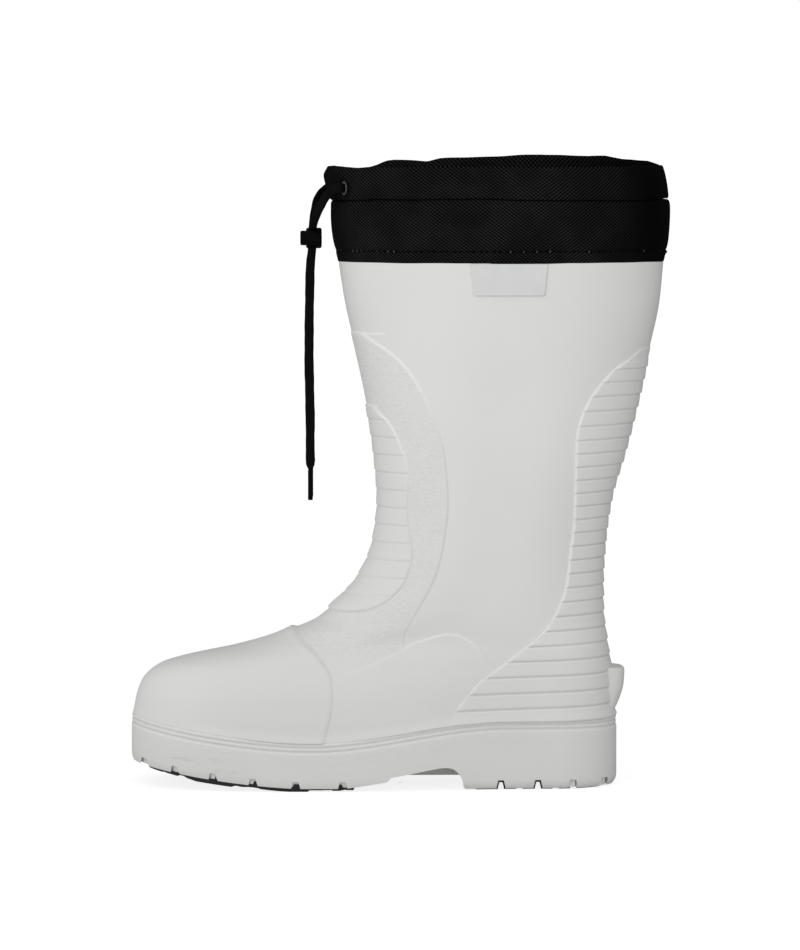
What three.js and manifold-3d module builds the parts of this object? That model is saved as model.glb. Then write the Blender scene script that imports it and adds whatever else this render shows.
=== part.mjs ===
// Winter boot for the left foot: a hollow foam shell moulded in one with its sole, rubber tread pads,
// a loose insole, a fabric cuff with a drawcord casing, and the drawcord with its barrel lock.
// Millimetres, +X towards the toe, +Y towards the outer (lateral) side, +Z up, floor at Z = 0.
import * as THREE from "three";
import { mergeVertices } from "three/addons/utils/BufferGeometryUtils.js";
import Module from "manifold-3d";

const wasm = await Module();
wasm.setup();

// Last and shell
const soleLength = 304;
const ballWidth = 113;
const heelWidth = 83;
const collarWidth = 128;
const instepHeight = 109;
const shellHeight = 340;
const wall = 4.5;
const toeSwing = 8; // how far the toe turns to the inner side
const waistSwing = 3; // how far the waist sits to the outer side

// Sole
const toeSpring = 13.4;
const springStart = 195;
const springPower = 1.55;
const heelRim = 0.8; // foam rim above the plane that the tread pads stand on
const foreRim = 1.8;
const ballWelt = 29.4; // height of the rand at the ball, its lowest place
const toeWeltRise = 14;
const heelWeltRise = 13.3;
const heelWeltStart = 70;
const heelWeltEnd = 190;
const randHeight = 5.4; // band of two beads under the upper
const randDepth = 0.9;
const cornerInset = 4.5;
const heelFootbed = 31;
const ballFootbed = 19;
const archHeight = 14.3;
const archBack = 96; // heel breast
const archFront = 172;
const bridgeWidth = 40;
const bridgeBottom = 7;

// Raised fields of the shell
const crestShare = 0.14; // of the pitch, from a rib's notch up to its crest
const backRibs = 26;
const backRibTilt = 0.03; // rise of the ribs per millimetre towards the back
const backRibDepth = 1.4;
const frontRibs = 12;
const frontRibPitch = 10.95;
const frontRibStart = 108.3;
const frontRibDepth = 1.2;
const panelDepth = 0.6;
const capDepth = 2.6; // toe cap above the vamp, at its rear edge on top
const capSideDepth = 1;
const capFade = 45; // length over which the cap dies into the toe

// Heel spur
const spurTop = 73.5;
const spurBottom = 46.5;
const spurReach = 8.2; // past the heel's own surface
const spurWidth = 37;
const spurCorner = 7;

// Tread pads
const padMargin = 5.5;
const recessTop = 6; // depth of the pads' recesses above the plane of the tread
const padFront = 292;
const padRear = 164;
const heelPadRear = 11;
const heelPadFront = 89;
const grooveDepth = 3;
const grooveWidth = 5;
const sideGrooveOffset = 17;
const notchTop = 2.6;
const notchHeight = 5.6;
const notchStations = [8, 28, 50, 73, 171, 200, 226.5, 251.5, 275.5, 295];

// Insole
const insoleThickness = 4;
const insoleClearance = 1.2;

// Cuff
const gap = 0.3; // between pieces that touch
const ease = 0.5; // more room between the curved band and the shell inside it
const fabric = 1.4;
const rebate = 2; // the shell's top edge is thinner, so that the band lies flush
const hemOverlap = 13.5; // how far the band reaches down over the shell's top edge
const bandHeight = 38.5;
const casingHeight = 20;
const casingThickness = 3.8;
const innerRimRise = 7.5; // the inner side of the gathered rim stands higher
const rimRipple = 1.1;
const pinchReach = 1.8; // the casing's front fold between the eyelets

// Label under the cuff
const labelWidth = 48;
const labelHeight = 20;
const labelThickness = 1.2;
const labelCentre = 68.6;
const labelTaper = 1.8;

// Drawcord, lock and eyelets
const eyeletStation = 0.88; // share of the way from heel to front round each side
const eyeletDrop = 13; // below the casing's front rim
const eyeletOuter = 9;
const eyeletHole = 5.6;
const eyeletRise = 0.9;
const eyeletClear = 0.7;
const laceWidth = 5.6;
const laceThickness = 2.4;
const lockLength = 9.8;
const lockDiameter = 12.9;
const lockWall = 1.5;
const lockHeight = 341;
const lockFront = 194.2; // front end of the barrel
const buttonDiameter = 9.2;
const buttonReach = 3.2;
const lockHole = 6.8;
const agletLength = 19;
const agletDiameter = 3.1;

// Sections of foot and leg. level is 0 at the floor, 1 at the instep height and 2 at the shell's top edge;
// back and front are shares of the sole's length; rear and fore are the centres of the two round ends, as shares
// of the section; spread is 0 for the heel's width and 1 for the collar's; ball is the share by which the fore
// part widens to the ball's width; rearPower and forePower say how square the two ends are.
const columns = ["level", "back", "front", "rear", "fore", "spread", "ball", "rearPower", "forePower"];
const sections = [
  [0.394, 0.007, 0.991, 0.14, 0.7, -0.03, 0.87, 2.3, 2.5],
  [0.514, 0.01, 0.989, 0.14, 0.7, -0.025, 0.8, 2.3, 2.45],
  [0.587, 0.0115, 0.979, 0.14, 0.7, -0.02, 0.68, 2.3, 2.4],
  [0.642, 0.013, 0.9625, 0.14, 0.7, -0.015, 0.52, 2.3, 2.4],
  [0.688, 0.014, 0.937, 0.145, 0.7, -0.01, 0.36, 2.3, 2.35],
  [0.725, 0.016, 0.895, 0.15, 0.7, 0, 0.2, 2.25, 2.3],
  [0.756, 0.018, 0.845, 0.16, 0.7, 0.01, 0.05, 2.25, 2.3],
  [0.786, 0.02, 0.793, 0.17, 0.7, 0.02, -0.1, 2.25, 2.25],
  [0.81, 0.021, 0.757, 0.185, 0.69, 0.025, -0.18, 2.25, 2.25],
  [0.83, 0.022, 0.73, 0.2, 0.68, 0.03, -0.22, 2.2, 2.2],
  [0.859, 0.0235, 0.697, 0.22, 0.66, 0.04, -0.22, 2.2, 2.2],
  [0.899, 0.0255, 0.657, 0.25, 0.64, 0.06, -0.18, 2.2, 2.2],
  [0.945, 0.028, 0.62, 0.28, 0.61, 0.075, -0.12, 2.15, 2.15],
  [1, 0.0295, 0.592, 0.31, 0.59, 0.09, -0.06, 2.15, 2.15],
  [1.078, 0.03, 0.535, 0.36, 0.58, 0.12, 0, 2.1, 2.1],
  [1.186, 0.025, 0.499, 0.4, 0.58, 0.2, 0, 2.1, 2.1],
  [1.299, 0.013, 0.4895, 0.4, 0.58, 0.3, 0, 2.1, 2.1],
  [1.433, -0.0165, 0.4975, 0.4, 0.58, 0.45, 0, 2.1, 2.1],
  [1.593, -0.047, 0.5185, 0.4, 0.58, 0.64, 0, 2.1, 2.1],
  [1.701, -0.065, 0.5365, 0.4, 0.58, 0.76, 0, 2.1, 2.1],
  [1.835, -0.0865, 0.5595, 0.4, 0.58, 0.9, 0, 2.1, 2.1],
  [1.944, -0.0945, 0.5725, 0.4, 0.58, 1, 0, 2.1, 2.1],
  [2, -0.099, 0.579, 0.4, 0.58, 1.03, 0, 2.1, 2.1],
  [2.1, -0.1015, 0.5865, 0.4, 0.58, 1.05, 0, 2.1, 2.1],
  [2.23, -0.099, 0.589, 0.4, 0.58, 1.04, 0, 2.1, 2.1],
].map((row) => Object.fromEntries(row.map((value, i) => [columns[i], value])));

// Notches between the back ribs: number of the notch from the rand up, and height as a level.
const backNotchLine = [[0, 0.392], [1, 0.474], [4, 0.743], [12, 1.183], [20, 1.469], [25, 1.656], [26, 1.684]];

// Outlines of the raised fields in the side view, from the top down or round: x as a share of the length, height as
// a level. Each is closed off outside the boot.
const backField = [
  [-0.2, 1.711], [-0.0625, 1.711], [-0.031, 1.694], [-0.018, 1.681], [0.012, 1.655], [0.038, 1.618], [0.06, 1.581],
  [0.075, 1.54], [0.084, 1.503], [0.089, 1.44], [0.09, 1.347], [0.091, 1.277], [0.094, 1.222], [0.099, 1.174],
  [0.104, 1.106], [0.109, 1.065], [0.118, 1.031], [0.132, 0.986], [0.152, 0.9], [0.191, 0.807], [0.235, 0.71],
  [0.254, 0.672], [0.281, 0.618], [0.298, 0.57], [0.312, 0.522], [0.33, 0.461], [0.335, 0.428], [0.342, 0.3],
  [-0.2, 0.3],
];
const frontField = [
  [0.7, 1.565], [0.513, 1.565], [0.496, 1.549], [0.476, 1.526], [0.463, 1.506], [0.45, 1.476], [0.442, 1.445],
  [0.4345, 1.424], [0.428, 1.379], [0.429, 1.334], [0.431, 1.283], [0.428, 1.239], [0.42, 1.171], [0.421, 1.142],
  [0.433, 1.091], [0.448, 1.063], [0.467, 1.038], [0.493, 1.017], [0.52, 1.006], [0.549, 1.001], [0.58, 1.003],
  [0.7, 1.003],
];
const frontPanel = [
  [0.8, 1.753], [0.545, 1.753], [0.521, 1.748], [0.493, 1.725], [0.464, 1.7], [0.4355, 1.665], [0.407, 1.611],
  [0.393, 1.574], [0.376, 1.525], [0.3645, 1.476], [0.356, 1.419], [0.35, 1.348], [0.349, 1.284], [0.354, 1.223],
  [0.361, 1.167], [0.3757, 1.099], [0.399, 1.037], [0.4247, 0.959], [0.4355, 0.901], [0.443, 0.8], [0.8, 0.8],
];
const toeCap = [
  [0.664, 1], [0.664, 0.921], [0.6585, 0.874], [0.642, 0.827], [0.6195, 0.772], [0.605, 0.724], [0.592, 0.676],
  [0.5865, 0.617], [0.5845, 0.549], [0.5865, 0.469], [0.592, 0.388], [0.601, 0.2], [1.1, 0.2], [1.1, 1],
];
// Underside between forefoot and heel: x as a share from the heel breast to the front of the arch, height as a
// share of the arch's height.
const archProfile = [
  [1, 0.07], [0.84, 0.19], [0.71, 0.32], [0.64, 0.4], [0.61, 0.55], [0.58, 0.61], [0.42, 0.75], [0.28, 0.91],
  [0.17, 1], [0.1, 0.97], [0.045, 0.74], [0.02, 0.46], [0, 0],
];

const clamp = (v, low, high) => Math.min(high, Math.max(low, v));
const mix = (a, b, t) => a + (b - a) * t;
const smooth = (t) => {
  const c = clamp(t, 0, 1);
  return c * c * (3 - 2 * c);
};

// Height of a level, and the level of a height.
const heightOf = (level) =>
  level <= 1 ? level * instepHeight : instepHeight + (level - 1) * (shellHeight - instepHeight);
const levelOf = (z) =>
  z <= instepHeight ? z / instepHeight : 1 + (z - instepHeight) / (shellHeight - instepHeight);

// A smooth curve through [key, value] pairs that doesn't overshoot between them.
function curveThrough(keys, values) {
  const last = keys.length - 1;
  const slope = (i) => (values[i + 1] - values[i]) / (keys[i + 1] - keys[i]);
  const tangent = (i) => {
    if (i === 0) return slope(0);
    if (i === last) return slope(last - 1);
    const [a, b] = [slope(i - 1), slope(i)];
    return a * b <= 0 ? 0 : (2 * a * b) / (a + b);
  };
  return (key) => {
    if (key <= keys[0]) return values[0];
    if (key >= keys[last]) return values[last];
    let i = 0;
    while (key > keys[i + 1]) i += 1;
    const span = keys[i + 1] - keys[i];
    const t = (key - keys[i]) / span;
    const [a, b] = [tangent(i) * span, tangent(i + 1) * span];
    const d = values[i + 1] - values[i];
    return values[i] + t * (a + t * (3 * d - 2 * a - b + t * (a + b - 2 * d)));
  };
}
const pairCurve = (pairs) => curveThrough(pairs.map((p) => p[0]), pairs.map((p) => p[1]));

const sectionCurves = Object.fromEntries(
  columns.slice(1).map((name) => [name, curveThrough(sections.map((s) => s.level), sections.map((s) => s[name]))]),
);
const backNotchAt = pairCurve(backNotchLine.map(([number, level]) => [number, heightOf(level)]));

// The two round ends and the widths of the horizontal section at a height.
function sectionAt(z) {
  const level = levelOf(z);
  const s = Object.fromEntries(Object.entries(sectionCurves).map(([name, curve]) => [name, curve(level)]));
  const back = s.back * soleLength;
  const front = s.front * soleLength;
  const rearWidth = mix(heelWidth, collarWidth, s.spread);
  return {
    back,
    front,
    rearCentre: mix(back, front, s.rear),
    foreCentre: mix(back, front, s.fore),
    rearHalf: rearWidth / 2,
    foreHalf: mix(rearWidth, ballWidth, s.ball) / 2,
    rearPower: s.rearPower,
    forePower: s.forePower,
  };
}

// The sole's outline in plan, drawn in by an inset.
function soleSection(inset) {
  const upper = sectionAt(sections[0].level * instepHeight);
  return {
    ...upper,
    back: inset,
    front: soleLength - inset,
    rearHalf: heelWidth / 2 - inset,
    foreHalf: ballWidth / 2 - inset,
  };
}

// Stations run from 0 behind the heel to 1 at the front. The two round ends take these shares of them.
const rearShare = 0.36;
const foreShare = 0.64;
const columnSets = [ // columns of the shell's grid on one side: from a station, to a station, how many
  [0, rearShare, 7],
  [rearShare, foreShare, 6],
  [foreShare, 1, 11],
];
const oneSide = columnSets.flatMap(([from, to, n]) => Array.from({ length: n }, (_, i) => from + ((to - from) * i) / n));
const turns = [...oneSide, 1, ...oneSide.slice(1).reverse().map((t) => 2 - t)];
const fineness = 0.14; // vertices that change the surface by less are left out
const notchLift = 0.45; // how far a ribbed form's notches stand out from the form under it

// A point of one side of a section: t runs from 0 behind the heel to 1 at the front.
function sidePoint(s, t) {
  if (t <= rearShare) {
    const a = (t / rearShare) * (Math.PI / 2);
    return [
      s.rearCentre - (s.rearCentre - s.back) * Math.cos(a) ** (2 / s.rearPower),
      s.rearHalf * Math.sin(a) ** (2 / s.rearPower),
    ];
  }
  if (t >= foreShare) {
    const a = ((1 - t) / (1 - foreShare)) * (Math.PI / 2);
    return [
      s.foreCentre + (s.front - s.foreCentre) * Math.max(0, Math.cos(a)) ** (2 / s.forePower),
      s.foreHalf * Math.max(0, Math.sin(a)) ** (2 / s.forePower),
    ];
  }
  const share = (t - rearShare) / (foreShare - rearShare);
  return [mix(s.rearCentre, s.foreCentre, share), mix(s.rearHalf, s.foreHalf, smooth(share))];
}

// The t at which one side of a section reaches x.
function stationOf(s, x) {
  let [low, high] = [0, 1];
  for (let i = 0; i < 30; i += 1) {
    const middle = (low + high) / 2;
    if (sidePoint(s, middle)[0] < x) low = middle;
    else high = middle;
  }
  return (low + high) / 2;
}

// Sideways turn of the last: the toe to the inner side, the waist to the outer side.
function swing(x, z) {
  const toe = toeSwing * clamp((x / soleLength - 0.5) / 0.5, 0, 1) ** 1.6;
  const waist = waistSwing * Math.exp(-(((x / soleLength - 0.4) / 0.17) ** 2));
  return (waist - toe) * (1 - smooth((z / instepHeight - 0.55) / 0.6));
}

// A point of the plain upper: turn runs from 0 behind the heel by the outer side to 1 at the front and 2 back again.
function surface(z, turn) {
  const round = ((turn % 2) + 2) % 2;
  const side = round <= 1 ? 1 : -1;
  const [x, y] = sidePoint(sectionAt(z), round <= 1 ? round : 2 - round);
  return new THREE.Vector3(x, side * y + swing(x, z), z);
}

function surfaceNormal(z, turn) {
  const along = surface(z, turn + 0.006).sub(surface(z, turn - 0.006));
  const up = surface(z + 0.6, turn).sub(surface(z - 0.6, turn));
  return up.cross(along).normalize();
}

const offsetSurface = (z, turn, distance) =>
  surface(z, turn).addScaledVector(surfaceNormal(z, turn), distance);

const springLine = (x) =>
  toeSpring * clamp((x - springStart) / (soleLength - springStart), 0, 1) ** springPower;
const rimLine = (x) => springLine(x) + (x < archBack ? heelRim : foreRim);
function weltHeight(x) {
  const toe = toeWeltRise * clamp((x - springStart) / (soleLength - springStart), 0, 1) ** 1.6;
  return ballWelt + toe + heelWeltRise * smooth((heelWeltEnd - x) / (heelWeltEnd - heelWeltStart));
}
const footbedHeight = (x) =>
  springLine(x) + mix(ballFootbed, heelFootbed, smooth((heelWeltEnd - x) / (heelWeltEnd - heelWeltStart)));

// Solids from rows of points. Each row runs once round: index 0 is behind the heel and the middle index is in front.
function solidFrom(points, triangles) {
  const geometry = new THREE.BufferGeometry();
  geometry.setAttribute("position", new THREE.Float32BufferAttribute(points.flatMap((p) => [p.x, p.y, p.z]), 3));
  geometry.setIndex(triangles.flat());
  return asSolid(geometry);
}

function asSolid(geometry) {
  const bare = geometry.clone();
  bare.deleteAttribute("normal");
  bare.deleteAttribute("uv");
  const merged = mergeVertices(bare, 1e-4);
  const indexes = new Uint32Array(merged.index.array);
  const build = () =>
    new wasm.Manifold(
      new wasm.Mesh({ numProp: 3, vertProperties: merged.attributes.position.array, triVerts: indexes }),
    );
  const solid = build();
  if (solid.volume() > 0) return solid;
  for (let i = 0; i < indexes.length; i += 3) {
    [indexes[i + 1], indexes[i + 2]] = [indexes[i + 2], indexes[i + 1]];
  }
  return build();
}

function walls(rows, count, closed) {
  const triangles = [];
  const last = closed ? rows : rows - 1;
  for (let r = 0; r < last; r += 1) {
    for (let c = 0; c < count; c += 1) {
      const next = (c + 1) % count;
      const [a, b] = [r * count, ((r + 1) % rows) * count];
      triangles.push([a + c, a + next, b + next], [a + c, b + next, b + c]);
    }
  }
  return triangles;
}

// A lid across a row: strips between the outer and the inner side.
function lid(start, count, flip) {
  const half = count / 2;
  const triangles = [];
  for (let i = 0; i < half; i += 1) {
    const [a, b, c, d] = [i, i + 1, (count - i - 1) % count, (count - i) % count].map((k) => start + k);
    if (i < half - 1) triangles.push([a, b, c]);
    if (i > 0) triangles.push([a, c, d]);
  }
  return flip ? triangles.map(([a, b, c]) => [a, c, b]) : triangles;
}

function loft(rows) {
  const count = rows[0].length;
  return solidFrom(rows.flat(), [
    ...walls(rows.length, count, false),
    ...lid(0, count, true),
    ...lid((rows.length - 1) * count, count, false),
  ]);
}

const ring = (rows) => solidFrom(rows.flat(), walls(rows.length, rows[0].length, true));

// A thin solid between two grids of points with the same rows and columns.
function slab(upper, lower) {
  const rows = upper.length;
  const count = upper[0].length;
  const at = (layer, r, c) => layer * rows * count + r * count + c;
  const triangles = [];
  const quad = (a, b, c, d) => triangles.push([a, b, c], [a, c, d]);
  for (let r = 0; r < rows - 1; r += 1) {
    for (let c = 0; c < count - 1; c += 1) {
      quad(at(0, r, c), at(0, r, c + 1), at(0, r + 1, c + 1), at(0, r + 1, c));
      quad(at(1, r, c), at(1, r + 1, c), at(1, r + 1, c + 1), at(1, r, c + 1));
    }
    quad(at(0, r, 0), at(0, r + 1, 0), at(1, r + 1, 0), at(1, r, 0));
    quad(at(0, r, count - 1), at(1, r, count - 1), at(1, r + 1, count - 1), at(0, r + 1, count - 1));
  }
  for (let c = 0; c < count - 1; c += 1) {
    quad(at(0, 0, c), at(1, 0, c), at(1, 0, c + 1), at(0, 0, c + 1));
    quad(at(0, rows - 1, c), at(0, rows - 1, c + 1), at(1, rows - 1, c + 1), at(1, rows - 1, c));
  }
  return solidFrom([...upper.flat(), ...lower.flat()], triangles);
}

// A side profile of [x, z] points, extruded across the boot between two y values.
function acrossBoot(profile, fromY, toY) {
  const shape = new THREE.Shape(profile.map(([x, z]) => new THREE.Vector2(x, z)));
  const geometry = new THREE.ExtrudeGeometry(shape, { depth: toY - fromY, bevelEnabled: false });
  geometry.rotateX(Math.PI / 2);
  geometry.translate(0, toY, 0);
  return asSolid(geometry);
}

function boxBetween(low, high) {
  const size = high.map((v, i) => v - low[i]);
  const geometry = new THREE.BoxGeometry(...size);
  geometry.translate(...low.map((v, i) => v + size[i] / 2));
  return asSolid(geometry);
}

// Heights of the rows behind the heel, with the height that each takes at the front of the boot.
const weltBack = weltHeight(0);
const weltFront = weltHeight(soleLength);
const rowBack = [0, 0.07, 0.15, 0.24, 0.34, 0.45, 0.56, 0.66, 0.75, 0.83, 0.9, 0.96, 1];
const rowFront = [0, 0.12, 0.23, 0.34, 0.44, 0.53, 0.61, 0.68, 0.75, 0.82, 0.88, 0.94, 1];
const legRows = [1.06, 1.13, 1.2, 1.28, 1.37, 1.47, 1.58, 1.7, 1.8, 1.88];

// Rows near the rand follow its dip at the ball, and higher rows lie level.
function upperHeights(index) {
  const low = rowBack[index];
  const high = rowFront[index];
  return (x) => {
    const share = clamp(x / soleLength, 0, 1);
    const level = mix(mix(weltBack, instepHeight, low), mix(weltFront, instepHeight, high), share);
    const start = mix(weltBack, weltFront, share);
    return level + (weltHeight(x) - start) * (1 - smooth((level - start) / (instepHeight * 0.85 - start)));
  };
}

// A row of the upper's surface. heightAt gives the height at a place along the boot, and reliefAt how far the form
// stands out there.
function upperRow(heightAt, reliefAt) {
  return turns.map((turn) => {
    let point = surface(heightAt(soleLength / 2), turn);
    for (let i = 0; i < 3; i += 1) point = surface(heightAt(point.x), turn);
    return offsetSurface(point.z, turn, reliefAt(point.x, point.z));
  });
}

function plainUpper() {
  const flush = () => 0;
  const rows = rowBack.map((_, i) => upperRow(upperHeights(i), flush));
  for (const level of legRows) rows.push(upperRow(() => heightOf(level), flush));
  rows.push(upperRow(() => hemHeight - 1.2, flush), upperRow(() => hemHeight - 0.6, () => -rebate));
  rows.push(upperRow(() => shellHeight, () => -rebate));
  return rows;
}

// The part of a form inside an outline of the side view.
function within(form, outline) {
  const profile = outline.map(([x, level]) => [x * soleLength, heightOf(level)]);
  return form.intersect(acrossBoot(profile, -collarWidth, collarWidth));
}

// Shingled ribs behind the heel and leg: proud at each lower edge, sunk at the notch above it.
function backRibForm() {
  const rows = [];
  const tilt = (z) => (x) => z - backRibTilt * clamp(x, 0, 110);
  for (let k = 0; k < backRibs; k += 1) {
    const [low, high] = [backNotchAt(k), backNotchAt(k + 1)];
    rows.push(upperRow(tilt(low), () => notchLift));
    rows.push(upperRow(tilt(mix(low, high, crestShare)), () => backRibDepth));
  }
  rows.push(upperRow(tilt(backNotchAt(backRibs)), () => notchLift));
  return within(loft(rows), backField);
}

function frontRibForm() {
  const rows = [];
  for (let k = 0; k < frontRibs; k += 1) {
    const at = (share) => () => frontRibStart + (k + share) * frontRibPitch;
    rows.push(upperRow(at(0), () => panelDepth + notchLift));
    rows.push(upperRow(at(crestShare), () => panelDepth + frontRibDepth));
  }
  rows.push(upperRow(() => frontRibStart + frontRibs * frontRibPitch, () => panelDepth + notchLift));
  return within(loft(rows), frontField);
}

function frontPanelForm() {
  const depth = (x, z) => mix(-0.3, panelDepth, smooth((z / instepHeight - 0.82) / 0.14));
  const rows = [8, 9, 10, 11, 12].map((i) => upperRow(upperHeights(i), depth));
  for (const level of legRows) rows.push(upperRow(() => heightOf(level), depth));
  return within(loft(rows), frontPanel);
}

// The toe cap stands out most at its rear edge on top and dies into the toe.
function toeCapForm() {
  const depth = (x, z) => {
    const top = smooth((z / instepHeight - 0.6) / 0.25);
    const edge = toeCap[1][0] * soleLength;
    return mix(-0.1, mix(capSideDepth, capDepth, top), 1 - smooth((x - edge + 8 * top) / capFade));
  };
  return within(loft(rowBack.map((_, i) => upperRow(upperHeights(i), depth))), toeCap);
}

// Rows of the sole's side, from the floor edge up to the rand's two beads. share runs from the bottom edge to the
// rand's lower line, and drop is measured down from the rand's top.
const soleRows = [
  { share: 0, inset: cornerInset },
  { share: 0.1, inset: cornerInset * 0.33 },
  { share: 0.26, inset: cornerInset * 0.07 },
  { share: 0.6, inset: 0 },
  { drop: 1, inset: 0.3 },
  { drop: 0.8, inset: 0.3 + randDepth },
  { drop: 0.6, inset: 0.3 },
  { drop: 0.4, inset: 0.3 + randDepth },
  { drop: 0.18, inset: 0.5 },
];
function soleRow({ share, drop, inset }) {
  const s = soleSection(inset);
  return turns.map((turn) => {
    const side = turn <= 1 ? 1 : -1;
    const [x, y] = sidePoint(s, turn <= 1 ? turn : 2 - turn);
    const top = weltHeight(x);
    const z = drop === undefined ? mix(rimLine(x), top - randHeight, share) : top - drop * randHeight;
    return new THREE.Vector3(x, side * y + swing(x, 0), z);
  });
}

const floorHeight = sections[0].level * instepHeight;
const cavitySteps = 30;
const cavityTurns = Array.from({ length: cavitySteps }, (_, i) => (2 * i) / cavitySteps);
const bedInset = 3; // how far the footbed's edge is drawn in under the upper's wall
const bedRow = (inset, rise) =>
  cavityTurns.map((turn) => {
    const point = offsetSurface(floorHeight, turn, -wall - inset);
    point.z = footbedHeight(point.x) + rise;
    return point;
  });

// The room for foot and leg, open past the shell's top edge.
function cavity() {
  const footRows = 8;
  const rows = [bedRow(bedInset, 0), bedRow(0.5, 3)];
  for (let i = 0; i < footRows; i += 1) {
    rows.push(cavityTurns.map((turn) => {
      const t = turn <= 1 ? turn : 2 - turn;
      const share = mix(i / footRows, 1 - (1 - i / footRows) ** 1.4, smooth((t - 0.3) / 0.4));
      return offsetSurface(mix(floorHeight + 4, instepHeight, share), turn, -wall);
    }));
  }
  const steps = 9;
  for (let i = 0; i <= steps; i += 1) {
    const z = mix(instepHeight, shellHeight, i / steps);
    rows.push(cavityTurns.map((turn) => offsetSurface(z, turn, -wall)));
  }
  rows.push(rows.at(-1).map((p) => new THREE.Vector3(p.x, p.y, p.z + 2 * wall)));
  return loft(rows);
}

function archCutter() {
  const profile = archProfile.map(([x, z]) => [mix(archBack, archFront, x), z * archHeight]);
  const reach = ballWidth;
  const cutter = acrossBoot([[archFront, -5], ...profile, [archBack, -5]], -reach, reach);
  const middle = swing((archBack + archFront) / 2, 0);
  const bridge = boxBetween(
    [archBack - 1, middle - bridgeWidth / 2, bridgeBottom],
    [archFront, middle + bridgeWidth / 2, archHeight * 2],
  );
  return cutter.subtract(bridge);
}

// A tapered slot across the sole at a station, from below the floor up to a height above the spring line.
function slotCutter(x, width, height) {
  const base = springLine(x);
  const rim = rimLine(x);
  return acrossBoot(
    [[x - width / 2, base - 5], [x + width / 2, base - 5], [x + width / 2, rim], [x + notchTop / 2, base + height],
      [x - notchTop / 2, base + height], [x - width / 2, rim]],
    -ballWidth, ballWidth,
  );
}

// A pad of the sole's inset outline between two stations, as thick as said, with its top at a height above the
// spring line.
function soleSlab(fromX, toX, margin, bottom, top, steps) {
  const s = soleSection(margin);
  const stations = Array.from({ length: steps + 1 }, (_, i) => mix(fromX, toX, 0.5 - 0.5 * Math.cos((Math.PI * i) / steps)));
  const grid = (rise) =>
    stations.map((x) => {
      const half = sidePoint(s, stationOf(s, x))[1];
      const shift = swing(x, 0);
      return [-half, 0, half].map((y) => new THREE.Vector3(x, y + shift, springLine(x) + rise));
    });
  return slab(grid(top), grid(bottom));
}

function spur() {
  const surfaceX = surface(spurTop, 0).x;
  const tip = surfaceX - spurReach;
  const root = surfaceX + 8;
  const height = spurTop - spurBottom;
  const side = acrossBoot(
    [[root, spurBottom], [surfaceX - 2.5, spurBottom], [mix(surfaceX, tip, 0.6), spurBottom + 0.28 * height],
      [mix(surfaceX, tip, 0.88), spurBottom + 0.58 * height], [tip, spurBottom + 0.86 * height],
      [tip + 0.4, spurTop - 1], [tip + 1.6, spurTop], [root, spurTop]],
    -spurWidth, spurWidth,
  );
  const plan = new THREE.Shape();
  plan.moveTo(root + 1, -spurWidth / 2);
  plan.lineTo(root + 1, spurWidth / 2);
  plan.lineTo(tip + spurCorner, spurWidth / 2);
  plan.quadraticCurveTo(tip, spurWidth / 2, tip, spurWidth / 2 - spurCorner);
  plan.lineTo(tip, spurCorner - spurWidth / 2);
  plan.quadraticCurveTo(tip, -spurWidth / 2, tip + spurCorner, -spurWidth / 2);
  const post = new THREE.ExtrudeGeometry(plan, { depth: shellHeight, bevelEnabled: false, curveSegments: 4 });
  return side.intersect(asSolid(post));
}

// The shell: upper, midsole and spur in one moulding.
function makeShell() {
  const plain = loft([...soleRows.map(soleRow), ...plainUpper()]);
  const raised = [frontPanelForm(), frontRibForm(), backRibForm(), toeCapForm(), spur()];
  const outer = raised.reduce((body, form) => body.add(form), plain);
  let shell = outer.subtract(cavity()).subtract(archCutter());
  shell = shell.subtract(soleSlab(padRear - gap, padFront + gap, padMargin - gap, -5, recessTop, 12));
  shell = shell.subtract(soleSlab(heelPadRear - gap, heelPadFront + gap, padMargin - gap, -5, recessTop, 10));
  for (const x of notchStations) shell = shell.subtract(slotCutter(x, grooveWidth, notchHeight));
  return shell.simplify(fineness);
}

// A rubber pad with transverse and lengthwise grooves between its lugs.
function makePad(fromX, toX, steps) {
  let pad = soleSlab(fromX, toX, padMargin, 0, recessTop - gap, steps);
  const inside = notchStations.filter((x) => x > fromX + grooveWidth && x < toX - grooveWidth);
  const between = inside.slice(1).map((x, i) => (x + inside[i]) / 2);
  for (const x of [...inside, ...between]) pad = pad.subtract(slotCutter(x, grooveWidth * 0.8, grooveDepth));
  for (const side of [-1, 1]) {
    const y = side * sideGrooveOffset;
    pad = pad.subtract(boxBetween([fromX - 1, y - 1.5, -5], [springStart, y + 1.5, grooveDepth * 0.8]));
  }
  return pad.simplify(fineness);
}

function makeInsole() {
  const inset = bedInset + insoleClearance;
  return loft([bedRow(inset, gap), bedRow(inset, gap + insoleThickness)]);
}

const cuffTurns = Array.from({ length: 36 }, (_, i) => (2 * i) / 36);
const hemHeight = shellHeight - hemOverlap;
const seamHeight = hemHeight + bandHeight;

function makeCuffBand() {
  const outerHeights = [0, 0.12, 0.5, 0.85, 1].map((share) => mix(hemHeight, seamHeight, share));
  const swell = [0, 0.4, 1.6, 1.7, 0.9]; // the fabric stands off a little between hem and seam
  const skin = gap + ease + fabric - rebate;
  const outer = outerHeights.map((z, i) => cuffTurns.map((turn) => offsetSurface(z, turn, skin + swell[i])));
  const inner = [1, 0.5, 0].map((share) => {
    const z = mix(hemHeight, seamHeight, share);
    return cuffTurns.map((turn) => offsetSurface(z, turn, gap + ease - rebate));
  });
  return ring([...outer, ...inner]);
}

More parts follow.
